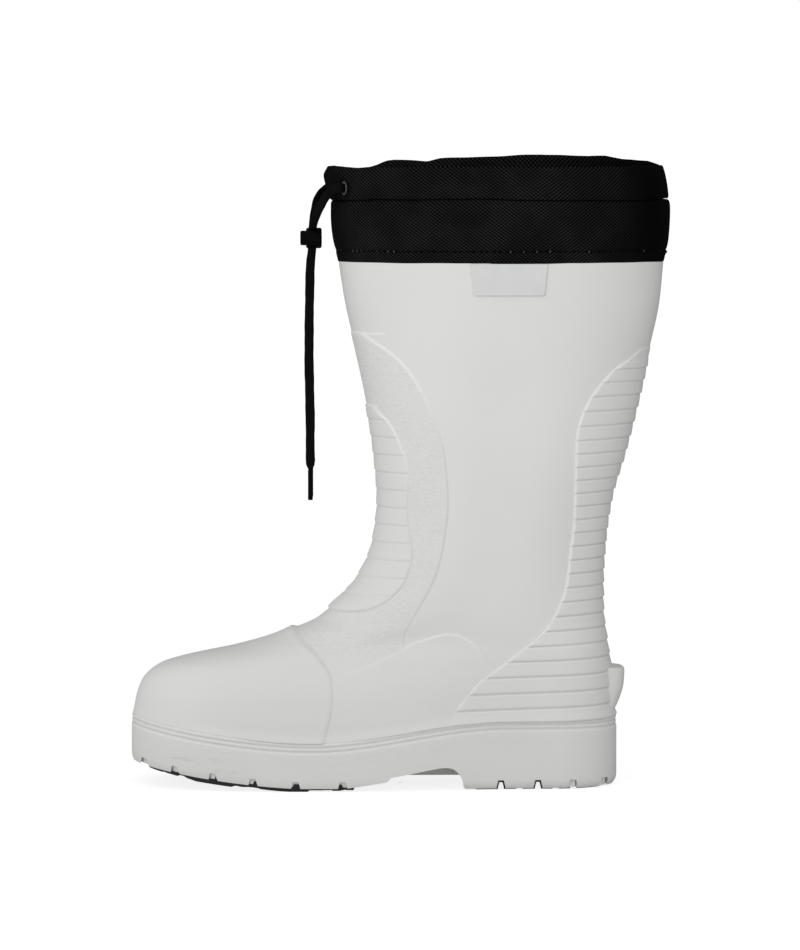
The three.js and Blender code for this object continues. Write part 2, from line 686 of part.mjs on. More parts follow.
// Height of the gathered rim: the inner side stands higher, and small folds run all round.
function rimHeight(turn) {
  const inner = turn > 1 ? turn - 1 : 0;
  const inward = smooth((inner - 0.165) / 0.085) * smooth((1 - inner) / 0.2);
  const ripple = rimRipple * Math.sin(turn * 9 * Math.PI + 0.6) * Math.sin(turn * 2.5 * Math.PI + 1);
  return seamHeight + gap + casingHeight + innerRimRise * inward + ripple;
}

// How far the casing's middle stands out from the leg's surface: it leans in at the back and out at the front,
// where the drawcord pinches it.
function casingLean(turn, share) {
  const ahead = smooth((Math.cos(Math.PI * (turn - 1)) + 1) / 2);
  const front = Math.exp(-(((turn - 1) / 0.1) ** 2));
  return share * mix(-2.8, 1.6, ahead) + pinchReach * front * smooth(share * 1.4) - 0.4;
}

function makeCasing() {
  const profile = [
    { share: 0, out: 0.3 }, { share: 0.16, out: 0.85 }, { share: 0.5, out: 1 }, { share: 0.84, out: 0.75 },
    { share: 1, out: 0.3 }, { share: 1, out: -0.3 }, { share: 0.8, out: -0.75 }, { share: 0.12, out: -0.75 },
    { share: 0, out: -0.3 },
  ];
  const rows = profile.map(({ share, out }) =>
    cuffTurns.map((turn) => {
      const z = mix(seamHeight + gap, rimHeight(turn), share);
      const point = surface(z, turn);
      const flat = surfaceNormal(seamHeight, turn).setZ(0).normalize();
      return point.addScaledVector(flat, casingLean(turn, share) + (casingThickness / 2) * out);
    }),
  );
  return ring(rows);
}

// A frame on the casing's outer face at an eyelet: its place, and the way it faces.
function eyeletFrame(side) {
  const turn = side > 0 ? eyeletStation : 2 - eyeletStation;
  const z = seamHeight + gap + casingHeight - eyeletDrop;
  const normal = surfaceNormal(seamHeight, turn).setZ(0).normalize();
  const share = 1 - eyeletDrop / casingHeight;
  const point = surface(z, turn).addScaledVector(normal, casingLean(turn, share) + casingThickness / 2);
  return { point, normal };
}

function turnedTube(outer, inner, from, to, frame) {
  const profile = [[inner, from], [outer, from], [outer, to], [inner, to], [inner, from]];
  const geometry = new THREE.LatheGeometry(profile.map(([r, h]) => new THREE.Vector2(r / 2, h)), 20);
  const turn = new THREE.Quaternion().setFromUnitVectors(new THREE.Vector3(0, 1, 0), frame.normal);
  geometry.applyQuaternion(turn);
  geometry.translate(...frame.point.toArray());
  return asSolid(geometry);
}

function cylinderAlongX(diameter, from, to, z) {
  const geometry = new THREE.CylinderGeometry(diameter / 2, diameter / 2, to - from, 20);
  geometry.rotateZ(Math.PI / 2);
  geometry.translate((from + to) / 2, 0, z);
  return asSolid(geometry);
}

// Centre of the two laces inside the lock.
const laceX = lockFront - lockWall - laceWidth / 2 + 0.2;
const passage = () =>
  boxBetween(
    [laceX - lockHole / 2, -lockHole / 2, lockHeight - lockDiameter],
    [laceX + lockHole / 2, lockHole / 2, lockHeight + lockDiameter],
  );

function makeLockBarrel() {
  const body = cylinderAlongX(lockDiameter, lockFront - lockLength, lockFront, lockHeight);
  const bore = cylinderAlongX(buttonDiameter + 2 * gap, lockFront - lockLength + lockWall, lockFront + 1, lockHeight);
  return body.subtract(bore).subtract(passage());
}

function makeLockButton() {
  const from = lockFront - lockLength + lockWall + gap;
  return cylinderAlongX(buttonDiameter, from, lockFront + buttonReach, lockHeight).subtract(passage());
}

// Routes of the two laces, chosen by hand: out of an eyelet, round the casing's front, through the lock and down.
// The first point is worked out from the eyelet. side is 1 for the outer lace.
const laceRoutes = {
  outer: [
    [177.8, 30.5, 371.2], [181.2, 25, 367.4], [184.2, 18, 362.4], [186.9, 10.5, 357], [188.9, 4.8, 351.9],
    [190.1, 1.6, 347.2], [190.2, 1.4, 340], [190.6, 1.5, 333], [191.4, 1.6, 326], [191.9, 1.7, 312], [192.2, 1.6, 296],
    [192.5, 1.9, 268], [192.2, 1.6, 248], [191.8, 1.7, 228], [191.7, 1.6, 212], [191.6, 1.6, 196.6],
  ],
  inner: [
    [178.6, -30.5, 373], [181.9, -25, 371.5], [185, -18.5, 368.6], [187.2, -13, 364.8], [188.3, -8.4, 360],
    [189.2, -4.6, 354.8], [190.1, -1.7, 348.2], [190.2, -1.4, 341], [190.6, -1.5, 333], [191.3, -1.7, 326],
    [191.8, -1.6, 312], [192.1, -1.7, 296], [192.3, -1.9, 268], [192, -1.7, 248], [191.6, -1.6, 228],
    [191.8, -1.7, 212], [191.4, -1.6, 198.4],
  ],
};

function laceCurve(side, route) {
  const frame = eyeletFrame(side);
  const start = frame.point.clone().addScaledVector(frame.normal, eyeletClear + eyeletRise + gap);
  const out = frame.point.clone().addScaledVector(frame.normal, 4.6);
  const points = [start, out, ...route.map((p) => new THREE.Vector3(...p))];
  return new THREE.CatmullRomCurve3(points, false, "centripetal");
}

// A flat lace along a curve: its wide side keeps to the upright plane that the lace hangs in.
function makeLace(side, route) {
  const curve = laceCurve(side, route);
  const steps = 30;
  const sides = 8;
  const rows = [];
  for (let i = 0; i <= steps; i += 1) {
    const share = i / steps;
    const centre = curve.getPointAt(share);
    const along = curve.getTangentAt(share);
    const wide = new THREE.Vector3(Math.max(0, -along.z), 0, Math.sqrt(Math.max(0, 1 - along.z ** 2)));
    wide.addScaledVector(along, -wide.dot(along)).normalize();
    const thin = new THREE.Vector3().crossVectors(along, wide);
    rows.push(Array.from({ length: sides }, (_, k) => {
      const a = (2 * Math.PI * k) / sides;
      return centre.clone()
        .addScaledVector(wide, (laceWidth / 2) * Math.cos(a))
        .addScaledVector(thin, (laceThickness / 2) * Math.sin(a));
    }));
  }
  return loft(rows);
}

function makeAglet(route) {
  const [x, y, z] = route.at(-1);
  const geometry = new THREE.CylinderGeometry(agletDiameter / 2, agletDiameter / 2, agletLength, 12);
  geometry.rotateX(Math.PI / 2);
  geometry.translate(x, y, z - gap - agletLength / 2);
  return asSolid(geometry);
}

function makeLabel() {
  const top = hemHeight - gap;
  const rows = 4;
  const count = 6;
  const grid = (rise) =>
    Array.from({ length: rows + 1 }, (_, r) => {
      const z = mix(top - labelHeight, top, r / rows);
      const half = labelWidth / 2 - labelTaper * (1 - r / rows);
      const s = sectionAt(z);
      return Array.from({ length: count + 1 }, (_, c) => {
        const x = mix(labelCentre - half, labelCentre + half, c / count);
        return offsetSurface(z, stationOf(s, x), rise);
      });
    });
  return slab(grid(gap + labelThickness), grid(gap));
}

// Materials
const foam = new THREE.MeshStandardMaterial({ color: 0xe4e6e4, roughness: 0.62, metalness: 0 });
const rubber = new THREE.MeshStandardMaterial({ color: 0x111111, roughness: 0.7, metalness: 0 });
const nylon = new THREE.MeshStandardMaterial({ color: 0x0d0d0e, roughness: 0.75, metalness: 0 });
const cordage = new THREE.MeshStandardMaterial({ color: 0x0a0a0a, roughness: 0.9, metalness: 0 });
const plastic = new THREE.MeshStandardMaterial({ color: 0x0c0c0d, roughness: 0.4, metalness: 0 });
const metal = new THREE.MeshStandardMaterial({ color: 0x55524d, roughness: 0.35, metalness: 1 });
const softLabel = new THREE.MeshStandardMaterial({ color: 0xd6d8d7, roughness: 0.45, metalness: 0 });
const felt = new THREE.MeshStandardMaterial({ color: 0x4a4b4d, roughness: 0.95, metalness: 0 });

const boot = new THREE.Group();
boot.name = "winter_boot";

function addPiece(name, solid, material) {
  const { vertProperties, triVerts, numProp } = solid.getMesh();
  const positions = new Float32Array((vertProperties.length / numProp) * 3);
  for (let i = 0; i < positions.length / 3; i += 1) {
    positions.set(vertProperties.subarray(i * numProp, i * numProp + 3), i * 3);
  }
  const geometry = new THREE.BufferGeometry();
  geometry.setAttribute("position", new THREE.BufferAttribute(positions, 3));
  geometry.setIndex(new THREE.BufferAttribute(triVerts, 1));
  geometry.computeVertexNormals();
  const mesh = new THREE.Mesh(geometry, material);
  mesh.name = name;
  boot.add(mesh);
  return mesh;
}

const standing = [
  addPiece("upper_and_sole", makeShell(), foam),
  addPiece("outsole_forefoot", makePad(padRear, padFront, 12), rubber),
  addPiece("outsole_heel", makePad(heelPadRear, heelPadFront, 10), rubber),
  addPiece("insole", makeInsole(), felt),
  addPiece("cuff_band", makeCuffBand(), nylon),
  addPiece("drawcord_casing", makeCasing(), nylon),
  addPiece("side_label", makeLabel(), softLabel),
];
for (const [name, side] of [["outer", 1], ["inner", -1]]) {
  const frame = eyeletFrame(side);
  standing.push(addPiece(`eyelet_${name}`, turnedTube(eyeletOuter, eyeletHole, eyeletClear, eyeletClear + eyeletRise, frame), metal));
  addPiece(`drawcord_${name}`, makeLace(side, laceRoutes[name]), cordage);
  addPiece(`aglet_${name}`, makeAglet(laceRoutes[name]), plastic);
}
addPiece("cord_lock_barrel", makeLockBarrel(), plastic);
addPiece("cord_lock_button", makeLockButton(), plastic);

// The origin is on the floor, in the middle of the boot's own box without its hanging drawcord.
const box = new THREE.Box3();
for (const mesh of standing) box.expandByObject(mesh);
const centre = box.getCenter(new THREE.Vector3());
boot.position.set(-centre.x, -centre.y, -box.min.z);

export default boot;
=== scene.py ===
"""Looks of the winter boot: every visible surface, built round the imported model.

All lengths are in millimetres in the part's own design frame (the heel's back end at X = 0, +X towards
the toe, +Y towards the outer side, floor at Z = 0), and metres() turns them into the row's frame.
"""
import math

import bmesh
import bpy
import numpy as np
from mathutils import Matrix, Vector


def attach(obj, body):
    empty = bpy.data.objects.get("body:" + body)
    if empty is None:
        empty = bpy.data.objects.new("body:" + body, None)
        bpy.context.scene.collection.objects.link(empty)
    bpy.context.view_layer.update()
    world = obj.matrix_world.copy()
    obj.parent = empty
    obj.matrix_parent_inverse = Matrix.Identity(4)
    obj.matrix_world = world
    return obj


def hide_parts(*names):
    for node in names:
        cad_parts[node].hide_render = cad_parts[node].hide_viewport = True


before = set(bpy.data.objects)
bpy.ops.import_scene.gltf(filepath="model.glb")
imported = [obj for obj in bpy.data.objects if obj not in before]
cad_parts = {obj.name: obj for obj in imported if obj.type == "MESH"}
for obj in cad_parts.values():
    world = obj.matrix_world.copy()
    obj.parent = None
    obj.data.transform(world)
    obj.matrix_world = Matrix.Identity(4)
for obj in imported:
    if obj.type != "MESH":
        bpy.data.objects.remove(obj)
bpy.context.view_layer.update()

ORIGIN_X = 135.637  # design X of the part's origin

# Sizes of the part, as in its source
SOLE_LENGTH = 304.0
BALL_WIDTH = 113.0
HEEL_WIDTH = 83.0
COLLAR_WIDTH = 128.0
INSTEP_HEIGHT = 109.0
SHELL_HEIGHT = 340.0
WALL = 4.5
TOE_SWING = 8.0
WAIST_SWING = 3.0
TOE_SPRING = 13.4
SPRING_START = 195.0
SPRING_POWER = 1.55
HEEL_RIM = 0.8
FORE_RIM = 1.8
BALL_WELT = 29.4
TOE_WELT_RISE = 14.0
HEEL_WELT_RISE = 13.3
HEEL_WELT = (70.0, 190.0)
HEEL_FOOTBED = 31.0
BALL_FOOTBED = 19.0
ARCH = (96.0, 172.0)
BRIDGE_WIDTH = 40.0
BRIDGE_BOTTOM = 7.0
HEM_OVERLAP = 13.5
HEM = SHELL_HEIGHT - HEM_OVERLAP
SEAM = HEM + 38.5
GAP = 0.3
REBATE = 2.0
CASING_HEIGHT = 20.0
CASING_THICKNESS = 3.8
PAD_MARGIN = 5.5
RECESS_TOP = 6.0
REAR_SHARE, FORE_SHARE = 0.36, 0.64

SECTION_COLUMNS = ("back", "front", "rear", "fore", "spread", "ball", "rear_power", "fore_power")
SECTIONS = (  # level, then the columns above
    (0.394, 0.007, 0.9975, 0.14, 0.7, -0.03, 0.87, 2.3, 2.5),
    (0.514, 0.01, 0.989, 0.14, 0.7, -0.025, 0.8, 2.3, 2.45),
    (0.587, 0.0115, 0.979, 0.14, 0.7, -0.02, 0.68, 2.3, 2.4),
    (0.642, 0.013, 0.9625, 0.14, 0.7, -0.015, 0.52, 2.3, 2.4),
    (0.688, 0.014, 0.937, 0.145, 0.7, -0.01, 0.36, 2.3, 2.35),
    (0.725, 0.016, 0.895, 0.15, 0.7, 0, 0.2, 2.25, 2.3),
    (0.756, 0.018, 0.845, 0.16, 0.7, 0.01, 0.05, 2.25, 2.3),
    (0.786, 0.02, 0.793, 0.17, 0.7, 0.02, -0.1, 2.25, 2.25),
    (0.81, 0.021, 0.757, 0.185, 0.69, 0.025, -0.18, 2.25, 2.25),
    (0.83, 0.022, 0.73, 0.2, 0.68, 0.03, -0.22, 2.2, 2.2),
    (0.859, 0.0235, 0.697, 0.22, 0.66, 0.04, -0.22, 2.2, 2.2),
    (0.899, 0.0255, 0.657, 0.25, 0.64, 0.06, -0.18, 2.2, 2.2),
    (0.945, 0.028, 0.62, 0.28, 0.61, 0.075, -0.12, 2.15, 2.15),
    (1, 0.0295, 0.592, 0.31, 0.59, 0.09, -0.06, 2.15, 2.15),
    (1.078, 0.03, 0.535, 0.36, 0.58, 0.12, 0, 2.1, 2.1),
    (1.186, 0.025, 0.499, 0.4, 0.58, 0.2, 0, 2.1, 2.1),
    (1.299, 0.013, 0.4895, 0.4, 0.58, 0.3, 0, 2.1, 2.1),
    (1.433, -0.0165, 0.4975, 0.4, 0.58, 0.45, 0, 2.1, 2.1),
    (1.593, -0.047, 0.5185, 0.4, 0.58, 0.64, 0, 2.1, 2.1),
    (1.701, -0.065, 0.5365, 0.4, 0.58, 0.76, 0, 2.1, 2.1),
    (1.835, -0.0865, 0.5595, 0.4, 0.58, 0.9, 0, 2.1, 2.1),
    (1.944, -0.0945, 0.5725, 0.4, 0.58, 1, 0, 2.1, 2.1),
    (2, -0.099, 0.579, 0.4, 0.58, 1.03, 0, 2.1, 2.1),
    (2.1, -0.1015, 0.5865, 0.4, 0.58, 1.05, 0, 2.1, 2.1),
    (2.23, -0.099, 0.589, 0.4, 0.58, 1.04, 0, 2.1, 2.1),
)
BACK_NOTCHES = ((0, 0.392), (1, 0.474), (4, 0.743), (12, 1.183), (20, 1.469), (25, 1.656), (26, 1.684))
BACK_RIBS = 26
BACK_RIB_TILT = 0.03
FRONT_RIBS = 12
FRONT_RIB_PITCH = 10.95
FRONT_RIB_START = 108.3

# Outlines of the raised fields in the side view, in millimetres
BACK_FIELD = (
    (-60, 273.5), (-19, 273.4), (-9.5, 269.3), (-5.4, 266.3), (3.6, 260.3), (11.7, 251.8),
    (18.1, 243.3), (22.8, 233.9), (25.5, 225.3), (26.8, 215.8), (27.1, 203.1), (27.4, 188.9),
    (27.7, 173), (28.5, 160.3), (30, 149.2), (31.6, 133.5), (33.2, 124), (36, 116.1), (40, 107.5),
    (46.3, 98.1), (58.1, 88), (71.7, 77.4), (77.3, 73.3), (85.5, 67.4), (90.6, 62), (94.8, 56.9),
    (100.4, 50.2), (101.9, 46.7), (103.5, 39), (104, 20), (-60, 20),
)
FRONT_FIELD = (
    (230, 240), (156, 237.9), (150.7, 235.9), (144.7, 230.4), (140.8, 226), (136.9, 219),
    (134.3, 211.9), (132.1, 206.9), (130.4, 196.5), (130.4, 186.2), (131, 174.4), (130.1, 164.1),
    (127.8, 148.5), (128.1, 141.9), (131.7, 130.1), (136.2, 123.5), (142.1, 117.7), (150, 113),
    (158, 110.4), (167, 109.2), (176.3, 109.3), (230, 109.3),
)
FRONT_PANEL = (
    (420, 283.5), (165.7, 282.8), (158.5, 281.7), (149.8, 276.4), (141.1, 270.6), (132.4, 262.6),
    (123.8, 250.1), (119.5, 241.5), (114.3, 230.3), (110.8, 219), (108.2, 205.9), (106.5, 189.5),
    (106.1, 174.7), (107.7, 160.5), (109.7, 147.5), (114.2, 131.8), (121.3, 117.5), (129.1, 104.5),
    (132.4, 98.2), (133.7, 90.3), (134.5, 70), (136, 20), (137, 0), (420, 0),
)
TOE_CAP = (
    (202.6, 125), (202.5, 100.4), (200.2, 95.3), (195.1, 90.1), (188.3, 84.1), (183.9, 78.9),
    (180, 73.7), (178.3, 67.3), (177.7, 59.8), (178.3, 51.1), (179.9, 42.3), (181.5, 35.7), (183, 28),
    (184, 14), (184.5, 0), (400, 0), (400, 125),
)
ANKLE_LINE = (
    (186, 64), (172.6, 70.4), (160, 75.4), (148, 80.3), (137.7, 85), (127.5, 91), (117.2, 94.4),
    (107.1, 97.1), (98.8, 95.8), (90.6, 91.2), (84.5, 85.6), (79.4, 78.4), (74, 66),
)
# Underside between heel and forefoot: X and height of the side wall's lower edge
ARCH_PROFILE = (
    (95.2, 0.8), (96.2, 2.2), (96.9, 6.4), (98.8, 9.9), (100.6, 12), (103, 13.6), (107, 14.3),
    (111, 14), (117, 13), (126, 11.2), (135.6, 9.4), (139.5, 8.8), (141.3, 8.4), (143.2, 6.1),
    (145, 5.5), (154, 4.1), (162, 2.9), (167, 2.2), (172.5, 1.8),
)
NOTCHES = (8, 28, 50, 73, 171, 200, 226.5, 251.5, 275.5, 295)
NOTCH_HEIGHT = 6.0
NOTCH_HALVES = (2.9, 1.7)  # half widths of a rim notch at the rim and at its top
PAD_NOTCH_HEIGHT = 4.2
PAD_NOTCH_HALVES = (2.0, 1.0)
# Forefoot tread at its outer edge: X, and how far it stands below the foam's rim
TREAD_EDGE = (
    (164, 0.2), (168.3, 0.3), (172.6, 1.2), (177, 1.2), (178.5, 0.4), (181, 0.4), (182, 0.9),
    (192, 0.9), (193, 2.1), (212, 2.1), (222, 1.8), (223.5, 1.3), (228, 1.2), (234, 1.8), (236, 1.4),
    (237.5, 1.5), (240, 2.5), (262, 2.6), (268, 1.6), (270, 0.6), (272, 0.6), (273.5, 1.6),
    (281.5, 1.2), (282.5, 0.6), (283.4, 1.3), (288.9, 1.0), (292, 0.6),
)
TREAD_LUGS = ((172.6, 1.5), (199.4, 2.1), (224.6, 1.5), (249.3, 0.6))  # X and half width, in the rim's notches

RIB_PROFILE_BACK = (
    (0, 0.42), (0.05, 0.72), (0.1, 1.12), (0.16, 1.36), (0.23, 1.4), (0.82, 0.86), (0.91, 0.78),
    (0.97, 0.5), (1, 0.42),
)
RIB_PROFILE_FRONT = (
    (0, 0.42), (0.03, 0.66), (0.07, 0.98), (0.12, 1.16), (0.18, 1.2), (0.88, 0.78), (0.95, 0.7),
    (0.985, 0.48), (1, 0.42),
)
RAND_PROFILE = (  # drop below the welt line, and inset from the sole's outline
    (-0.35, 0.7), (0.0, 0.45), (0.5, 0.3), (1.0, 0.32), (1.5, 0.6), (1.9, 0.92), (2.2, 1.0), (2.5, 0.9),
    (2.9, 0.5), (3.3, 0.28), (3.8, 0.3), (4.2, 0.5), (4.6, 0.84), (4.9, 0.92), (5.2, 0.78), (5.6, 0.42),
    (6.0, 0.18), (6.4, 0.06), (7.2, 0.0),
)


def clamp(v, low, high):
    return np.minimum(high, np.maximum(low, v))


def mix(a, b, t):
    return a + (b - a) * t


def smooth(t):
    c = clamp(t, 0.0, 1.0)
    return c * c * (3 - 2 * c)


def height_of(level):
    level = np.asarray(level, float)
    leg = INSTEP_HEIGHT + (level - 1) * (SHELL_HEIGHT - INSTEP_HEIGHT)
    return np.where(level <= 1, level * INSTEP_HEIGHT, leg)


def level_of(z):
    z = np.asarray(z, float)
    leg = 1 + (z - INSTEP_HEIGHT) / (SHELL_HEIGHT - INSTEP_HEIGHT)
    return np.where(z <= INSTEP_HEIGHT, z / INSTEP_HEIGHT, leg)


def curve_through(keys, values):
    """A smooth curve through the pairs that doesn't overshoot between them."""
    k, v = np.asarray(keys, float), np.asarray(values, float)
    slope = np.diff(v) / np.diff(k)
    tangent = np.empty(len(k))
    tangent[0], tangent[-1] = slope[0], slope[-1]
    a, b = slope[:-1], slope[1:]
    total = np.where(a * b > 0, a + b, 1.0)
    tangent[1:-1] = np.where(a * b > 0, 2 * a * b / total, 0.0)

    def at(x):
        x = clamp(np.asarray(x, float), k[0], k[-1])
        i = np.clip(np.searchsorted(k, x, side="left") - 1, 0, len(k) - 2)
        span = k[i + 1] - k[i]
        t = (x - k[i]) / span
        ta, tb = tangent[i] * span, tangent[i + 1] * span
        d = v[i + 1] - v[i]
        return v[i] + t * (ta + t * (3 * d - 2 * ta - tb + t * (ta + tb - 2 * d)))

    return at


LEVELS = [row[0] for row in SECTIONS]
SECTION_CURVES = {
    name: curve_through(LEVELS, [row[i + 1] for row in SECTIONS]) for i, name in enumerate(SECTION_COLUMNS)
}


def section_at(z):
    """The two round ends and the widths of the horizontal section at a height."""
    s = {name: curve(level_of(z)) for name, curve in SECTION_CURVES.items()}
    back, front = s["back"] * SOLE_LENGTH, s["front"] * SOLE_LENGTH
    rear_width = mix(HEEL_WIDTH, COLLAR_WIDTH, s["spread"])
    return {
        "back": back,
        "front": front,
        "rear_centre": mix(back, front, s["rear"]),
        "fore_centre": mix(back, front, s["fore"]),
        "rear_half": rear_width / 2,
        "fore_half": mix(rear_width, BALL_WIDTH, s["ball"]) / 2,
        "rear_power": s["rear_power"],
        "fore_power": s["fore_power"],
    }


def sole_section(inset):
    """The sole's outline in plan, drawn in by an inset."""
    s = section_at(LEVELS[0] * INSTEP_HEIGHT)
    return {**s, "back": inset + 0.0, "front": SOLE_LENGTH - inset, "rear_half": HEEL_WIDTH / 2 - inset,
            "fore_half": BALL_WIDTH / 2 - inset}


def side_point(s, t):
    """A point of one side of a section: t runs from 0 behind the heel to 1 at the front."""

    def round_end(angle, centre, end, half, power):
        along = np.maximum(np.cos(angle), 0) ** (2 / power)
        return centre + (end - centre) * along, half * np.maximum(np.sin(angle), 0) ** (2 / power)

    a = clamp(t / REAR_SHARE, 0, 1) * math.pi / 2
    rear_x, rear_y = round_end(a, s["rear_centre"], s["back"], s["rear_half"], s["rear_power"])
    b = clamp((1 - t) / (1 - FORE_SHARE), 0, 1) * math.pi / 2
    fore_x, fore_y = round_end(b, s["fore_centre"], s["front"], s["fore_half"], s["fore_power"])
    share = (t - REAR_SHARE) / (FORE_SHARE - REAR_SHARE)
    side_x = mix(s["rear_centre"], s["fore_centre"], share)
    side_y = mix(s["rear_half"], s["fore_half"], smooth(share))
    return (
        np.where(t <= REAR_SHARE, rear_x, np.where(t >= FORE_SHARE, fore_x, side_x)),
        np.where(t <= REAR_SHARE, rear_y, np.where(t >= FORE_SHARE, fore_y, side_y)),
    )


def station_of(s, x):
    """The t at which one side of a section reaches x."""
    low, high = np.zeros_like(x), np.ones_like(x)
    for _ in range(34):
        middle = (low + high) / 2
        short = side_point(s, middle)[0] < x
        low, high = np.where(short, middle, low), np.where(short, high, middle)
    return (low + high) / 2


def swing(x, z):
    """Sideways turn of the last: the toe to the inner side, the waist to the outer side."""
    toe = TOE_SWING * clamp((x / SOLE_LENGTH - 0.5) / 0.5, 0, 1) ** 1.6
    waist = WAIST_SWING * np.exp(-(((x / SOLE_LENGTH - 0.4) / 0.17) ** 2))
    return (waist - toe) * (1 - smooth((z / INSTEP_HEIGHT - 0.55) / 0.6))


def surface(z, turn):
    """Points of the plain upper: turn is 0 behind the heel, 1 in front and 2 behind again, by the outer side."""
    z, turn = np.broadcast_arrays(np.asarray(z, float), np.asarray(turn, float))
    whole = np.mod(turn, 2)
    side = np.where(whole <= 1, 1.0, -1.0)
    x, y = side_point(section_at(z), np.where(whole <= 1, whole, 2 - whole))
    return np.stack([x, side * y + swing(x, z), z], axis=-1)


def unit(v):
    return v / np.maximum(np.linalg.norm(v, axis=-1, keepdims=True), 1e-12)


def surface_normal(z, turn):
    along = surface(z, turn + 0.006) - surface(z, turn - 0.006)
    up = surface(z + 0.6, turn) - surface(z - 0.6, turn)
    return unit(np.cross(up, along))


def offset_surface(z, turn, distance):
    distance = np.asarray(distance, float)
    return surface(z, turn) + surface_normal(z, turn) * distance[..., None]


def spring_line(x):
    return TOE_SPRING * clamp((x - SPRING_START) / (SOLE_LENGTH - SPRING_START), 0, 1) ** SPRING_POWER


def rim_line(x):
    return spring_line(x) + np.where(x < ARCH[0], HEEL_RIM, FORE_RIM)


def heel_share(x):
    return smooth((HEEL_WELT[1] - x) / (HEEL_WELT[1] - HEEL_WELT[0]))


def welt_height(x):
    toe = TOE_WELT_RISE * clamp((x - SPRING_START) / (SOLE_LENGTH - SPRING_START), 0, 1) ** 1.6
    return BALL_WELT + toe + HEEL_WELT_RISE * heel_share(x)


def footbed_height(x):
    return spring_line(x) + mix(BALL_FOOTBED, HEEL_FOOTBED, heel_share(x))


def rounded(points, steps=6):
    """A closed outline through the points, with its bends rounded."""
    p = np.asarray(points, float)
    before, after, last = np.roll(p, 1, 0), np.roll(p, -1, 0), np.roll(p, -2, 0)
    rows = []
    for i in range(steps):
        t = i / steps
        curve = 0.5 * (2 * p + (after - before) * t + (2 * before - 5 * p + 4 * after - last) * t * t
                       + (3 * p - before - 3 * after + last) * t ** 3)
        straight = mix(p, after, t)
        long = np.linalg.norm(after - p, axis=1, keepdims=True) > 22
        rows.append(np.where(long, straight, curve))
    return np.stack(rows, 1).reshape(-1, 2)


def signed_distance(x, z, outline):
    """Distance in the side view to a closed outline: positive inside it."""
    a, b = outline, np.roll(outline, -1, 0)
    flat_x, flat_z = x.ravel(), z.ravel()
    best = np.full(flat_x.shape, 1e9)
    inside = np.zeros(flat_x.shape, bool)
    for (ax, az), (bx, bz) in zip(a, b):
        dx, dz = bx - ax, bz - az
        length = dx * dx + dz * dz
        if length < 1e-9:
            continue
        t = clamp(((flat_x - ax) * dx + (flat_z - az) * dz) / length, 0, 1)
        best = np.minimum(best, (flat_x - ax - t * dx) ** 2 + (flat_z - az - t * dz) ** 2)
        crosses = (az > flat_z) != (bz > flat_z)
        if dz:
            inside ^= crosses & (flat_x < ax + dx * (flat_z - az) / dz)
    return np.where(inside, 1.0, -1.0).reshape(x.shape) * np.sqrt(best).reshape(x.shape)


OUTLINES = {
    "back": rounded(BACK_FIELD),
    "front": rounded(FRONT_FIELD),
    "panel": rounded(FRONT_PANEL),
    "cap": rounded(TOE_CAP),
}
NOTCH_NUMBERS, NOTCH_LEVELS = np.transpose(BACK_NOTCHES)
back_notch_height = curve_through(NOTCH_NUMBERS, height_of(NOTCH_LEVELS))
RIB_NUMBERS = np.linspace(0, BACK_RIBS, 1041)
RIB_HEIGHTS = back_notch_height(RIB_NUMBERS)


def profile(pairs, share):
    return np.interp(share, [p[0] for p in pairs], [p[1] for p in pairs])


def relief(x, z):
    """How far the shell's raised fields stand out from the plain upper at a place in the side view."""
    panel_edge = signed_distance(x, z, OUTLINES["panel"])
    panel_depth = 0.6 * smooth((z / INSTEP_HEIGHT - 0.9) / 0.22)
    out = panel_depth * smooth((panel_edge + 0.5) / 1.1)
    front_edge = signed_distance(x, z, OUTLINES["front"])
    rib = np.mod((z - FRONT_RIB_START) / FRONT_RIB_PITCH, 1)
    front = 0.6 + profile(RIB_PROFILE_FRONT, rib)
    out = np.maximum(out, mix(out, front, smooth((front_edge + 0.4) / 0.9)))
    tilted = z + BACK_RIB_TILT * clamp(x, 0, 110)
    number = np.interp(tilted, RIB_HEIGHTS, RIB_NUMBERS)
    back_edge = signed_distance(x, z, OUTLINES["back"])
    back = profile(RIB_PROFILE_BACK, np.mod(number, 1))
    back = np.where(number >= BACK_RIBS, 0.5, back)
    out = np.maximum(out, back * smooth((back_edge + 0.4) / 0.9))
    top = smooth((z / INSTEP_HEIGHT - 0.84) / 0.1)
    fade = 1 - smooth((x - TOE_CAP[1][0] + 8 * top) / 45.0)
    cap_edge = signed_distance(x, z, OUTLINES["cap"])
    width = mix(1.7, 5.5, top)
    cap = mix(0.0, mix(0.8, 3.5, top), fade)
    out = np.maximum(out, cap * smooth((cap_edge + mix(0.4, 0.85, top) * width) / width))
    below = smooth((below_ankle(x, z) + 0.5) / 1.5)
    return np.maximum(out, 0.5 * (1 - smooth((x - 122) / 44)) * smooth((x - 60) / 8) * below)


def below_ankle(x, z):
    """Distance in the side view to the ridge that crosses the foot below the ankle: positive below it."""
    line_x = np.array([p[0] for p in ANKLE_LINE[::-1]])
    line_z = np.array([p[1] for p in ANKLE_LINE[::-1]])
    below = np.interp(x, line_x, line_z) - z
    slope = np.interp(x, (line_x[:-1] + line_x[1:]) / 2, np.diff(line_z) / np.diff(line_x))
    return below / np.sqrt(1 + slope ** 2)


# Meshes
def metres(points):
    p = np.array(points, float)
    p[..., 0] -= ORIGIN_X
    return p / 1000


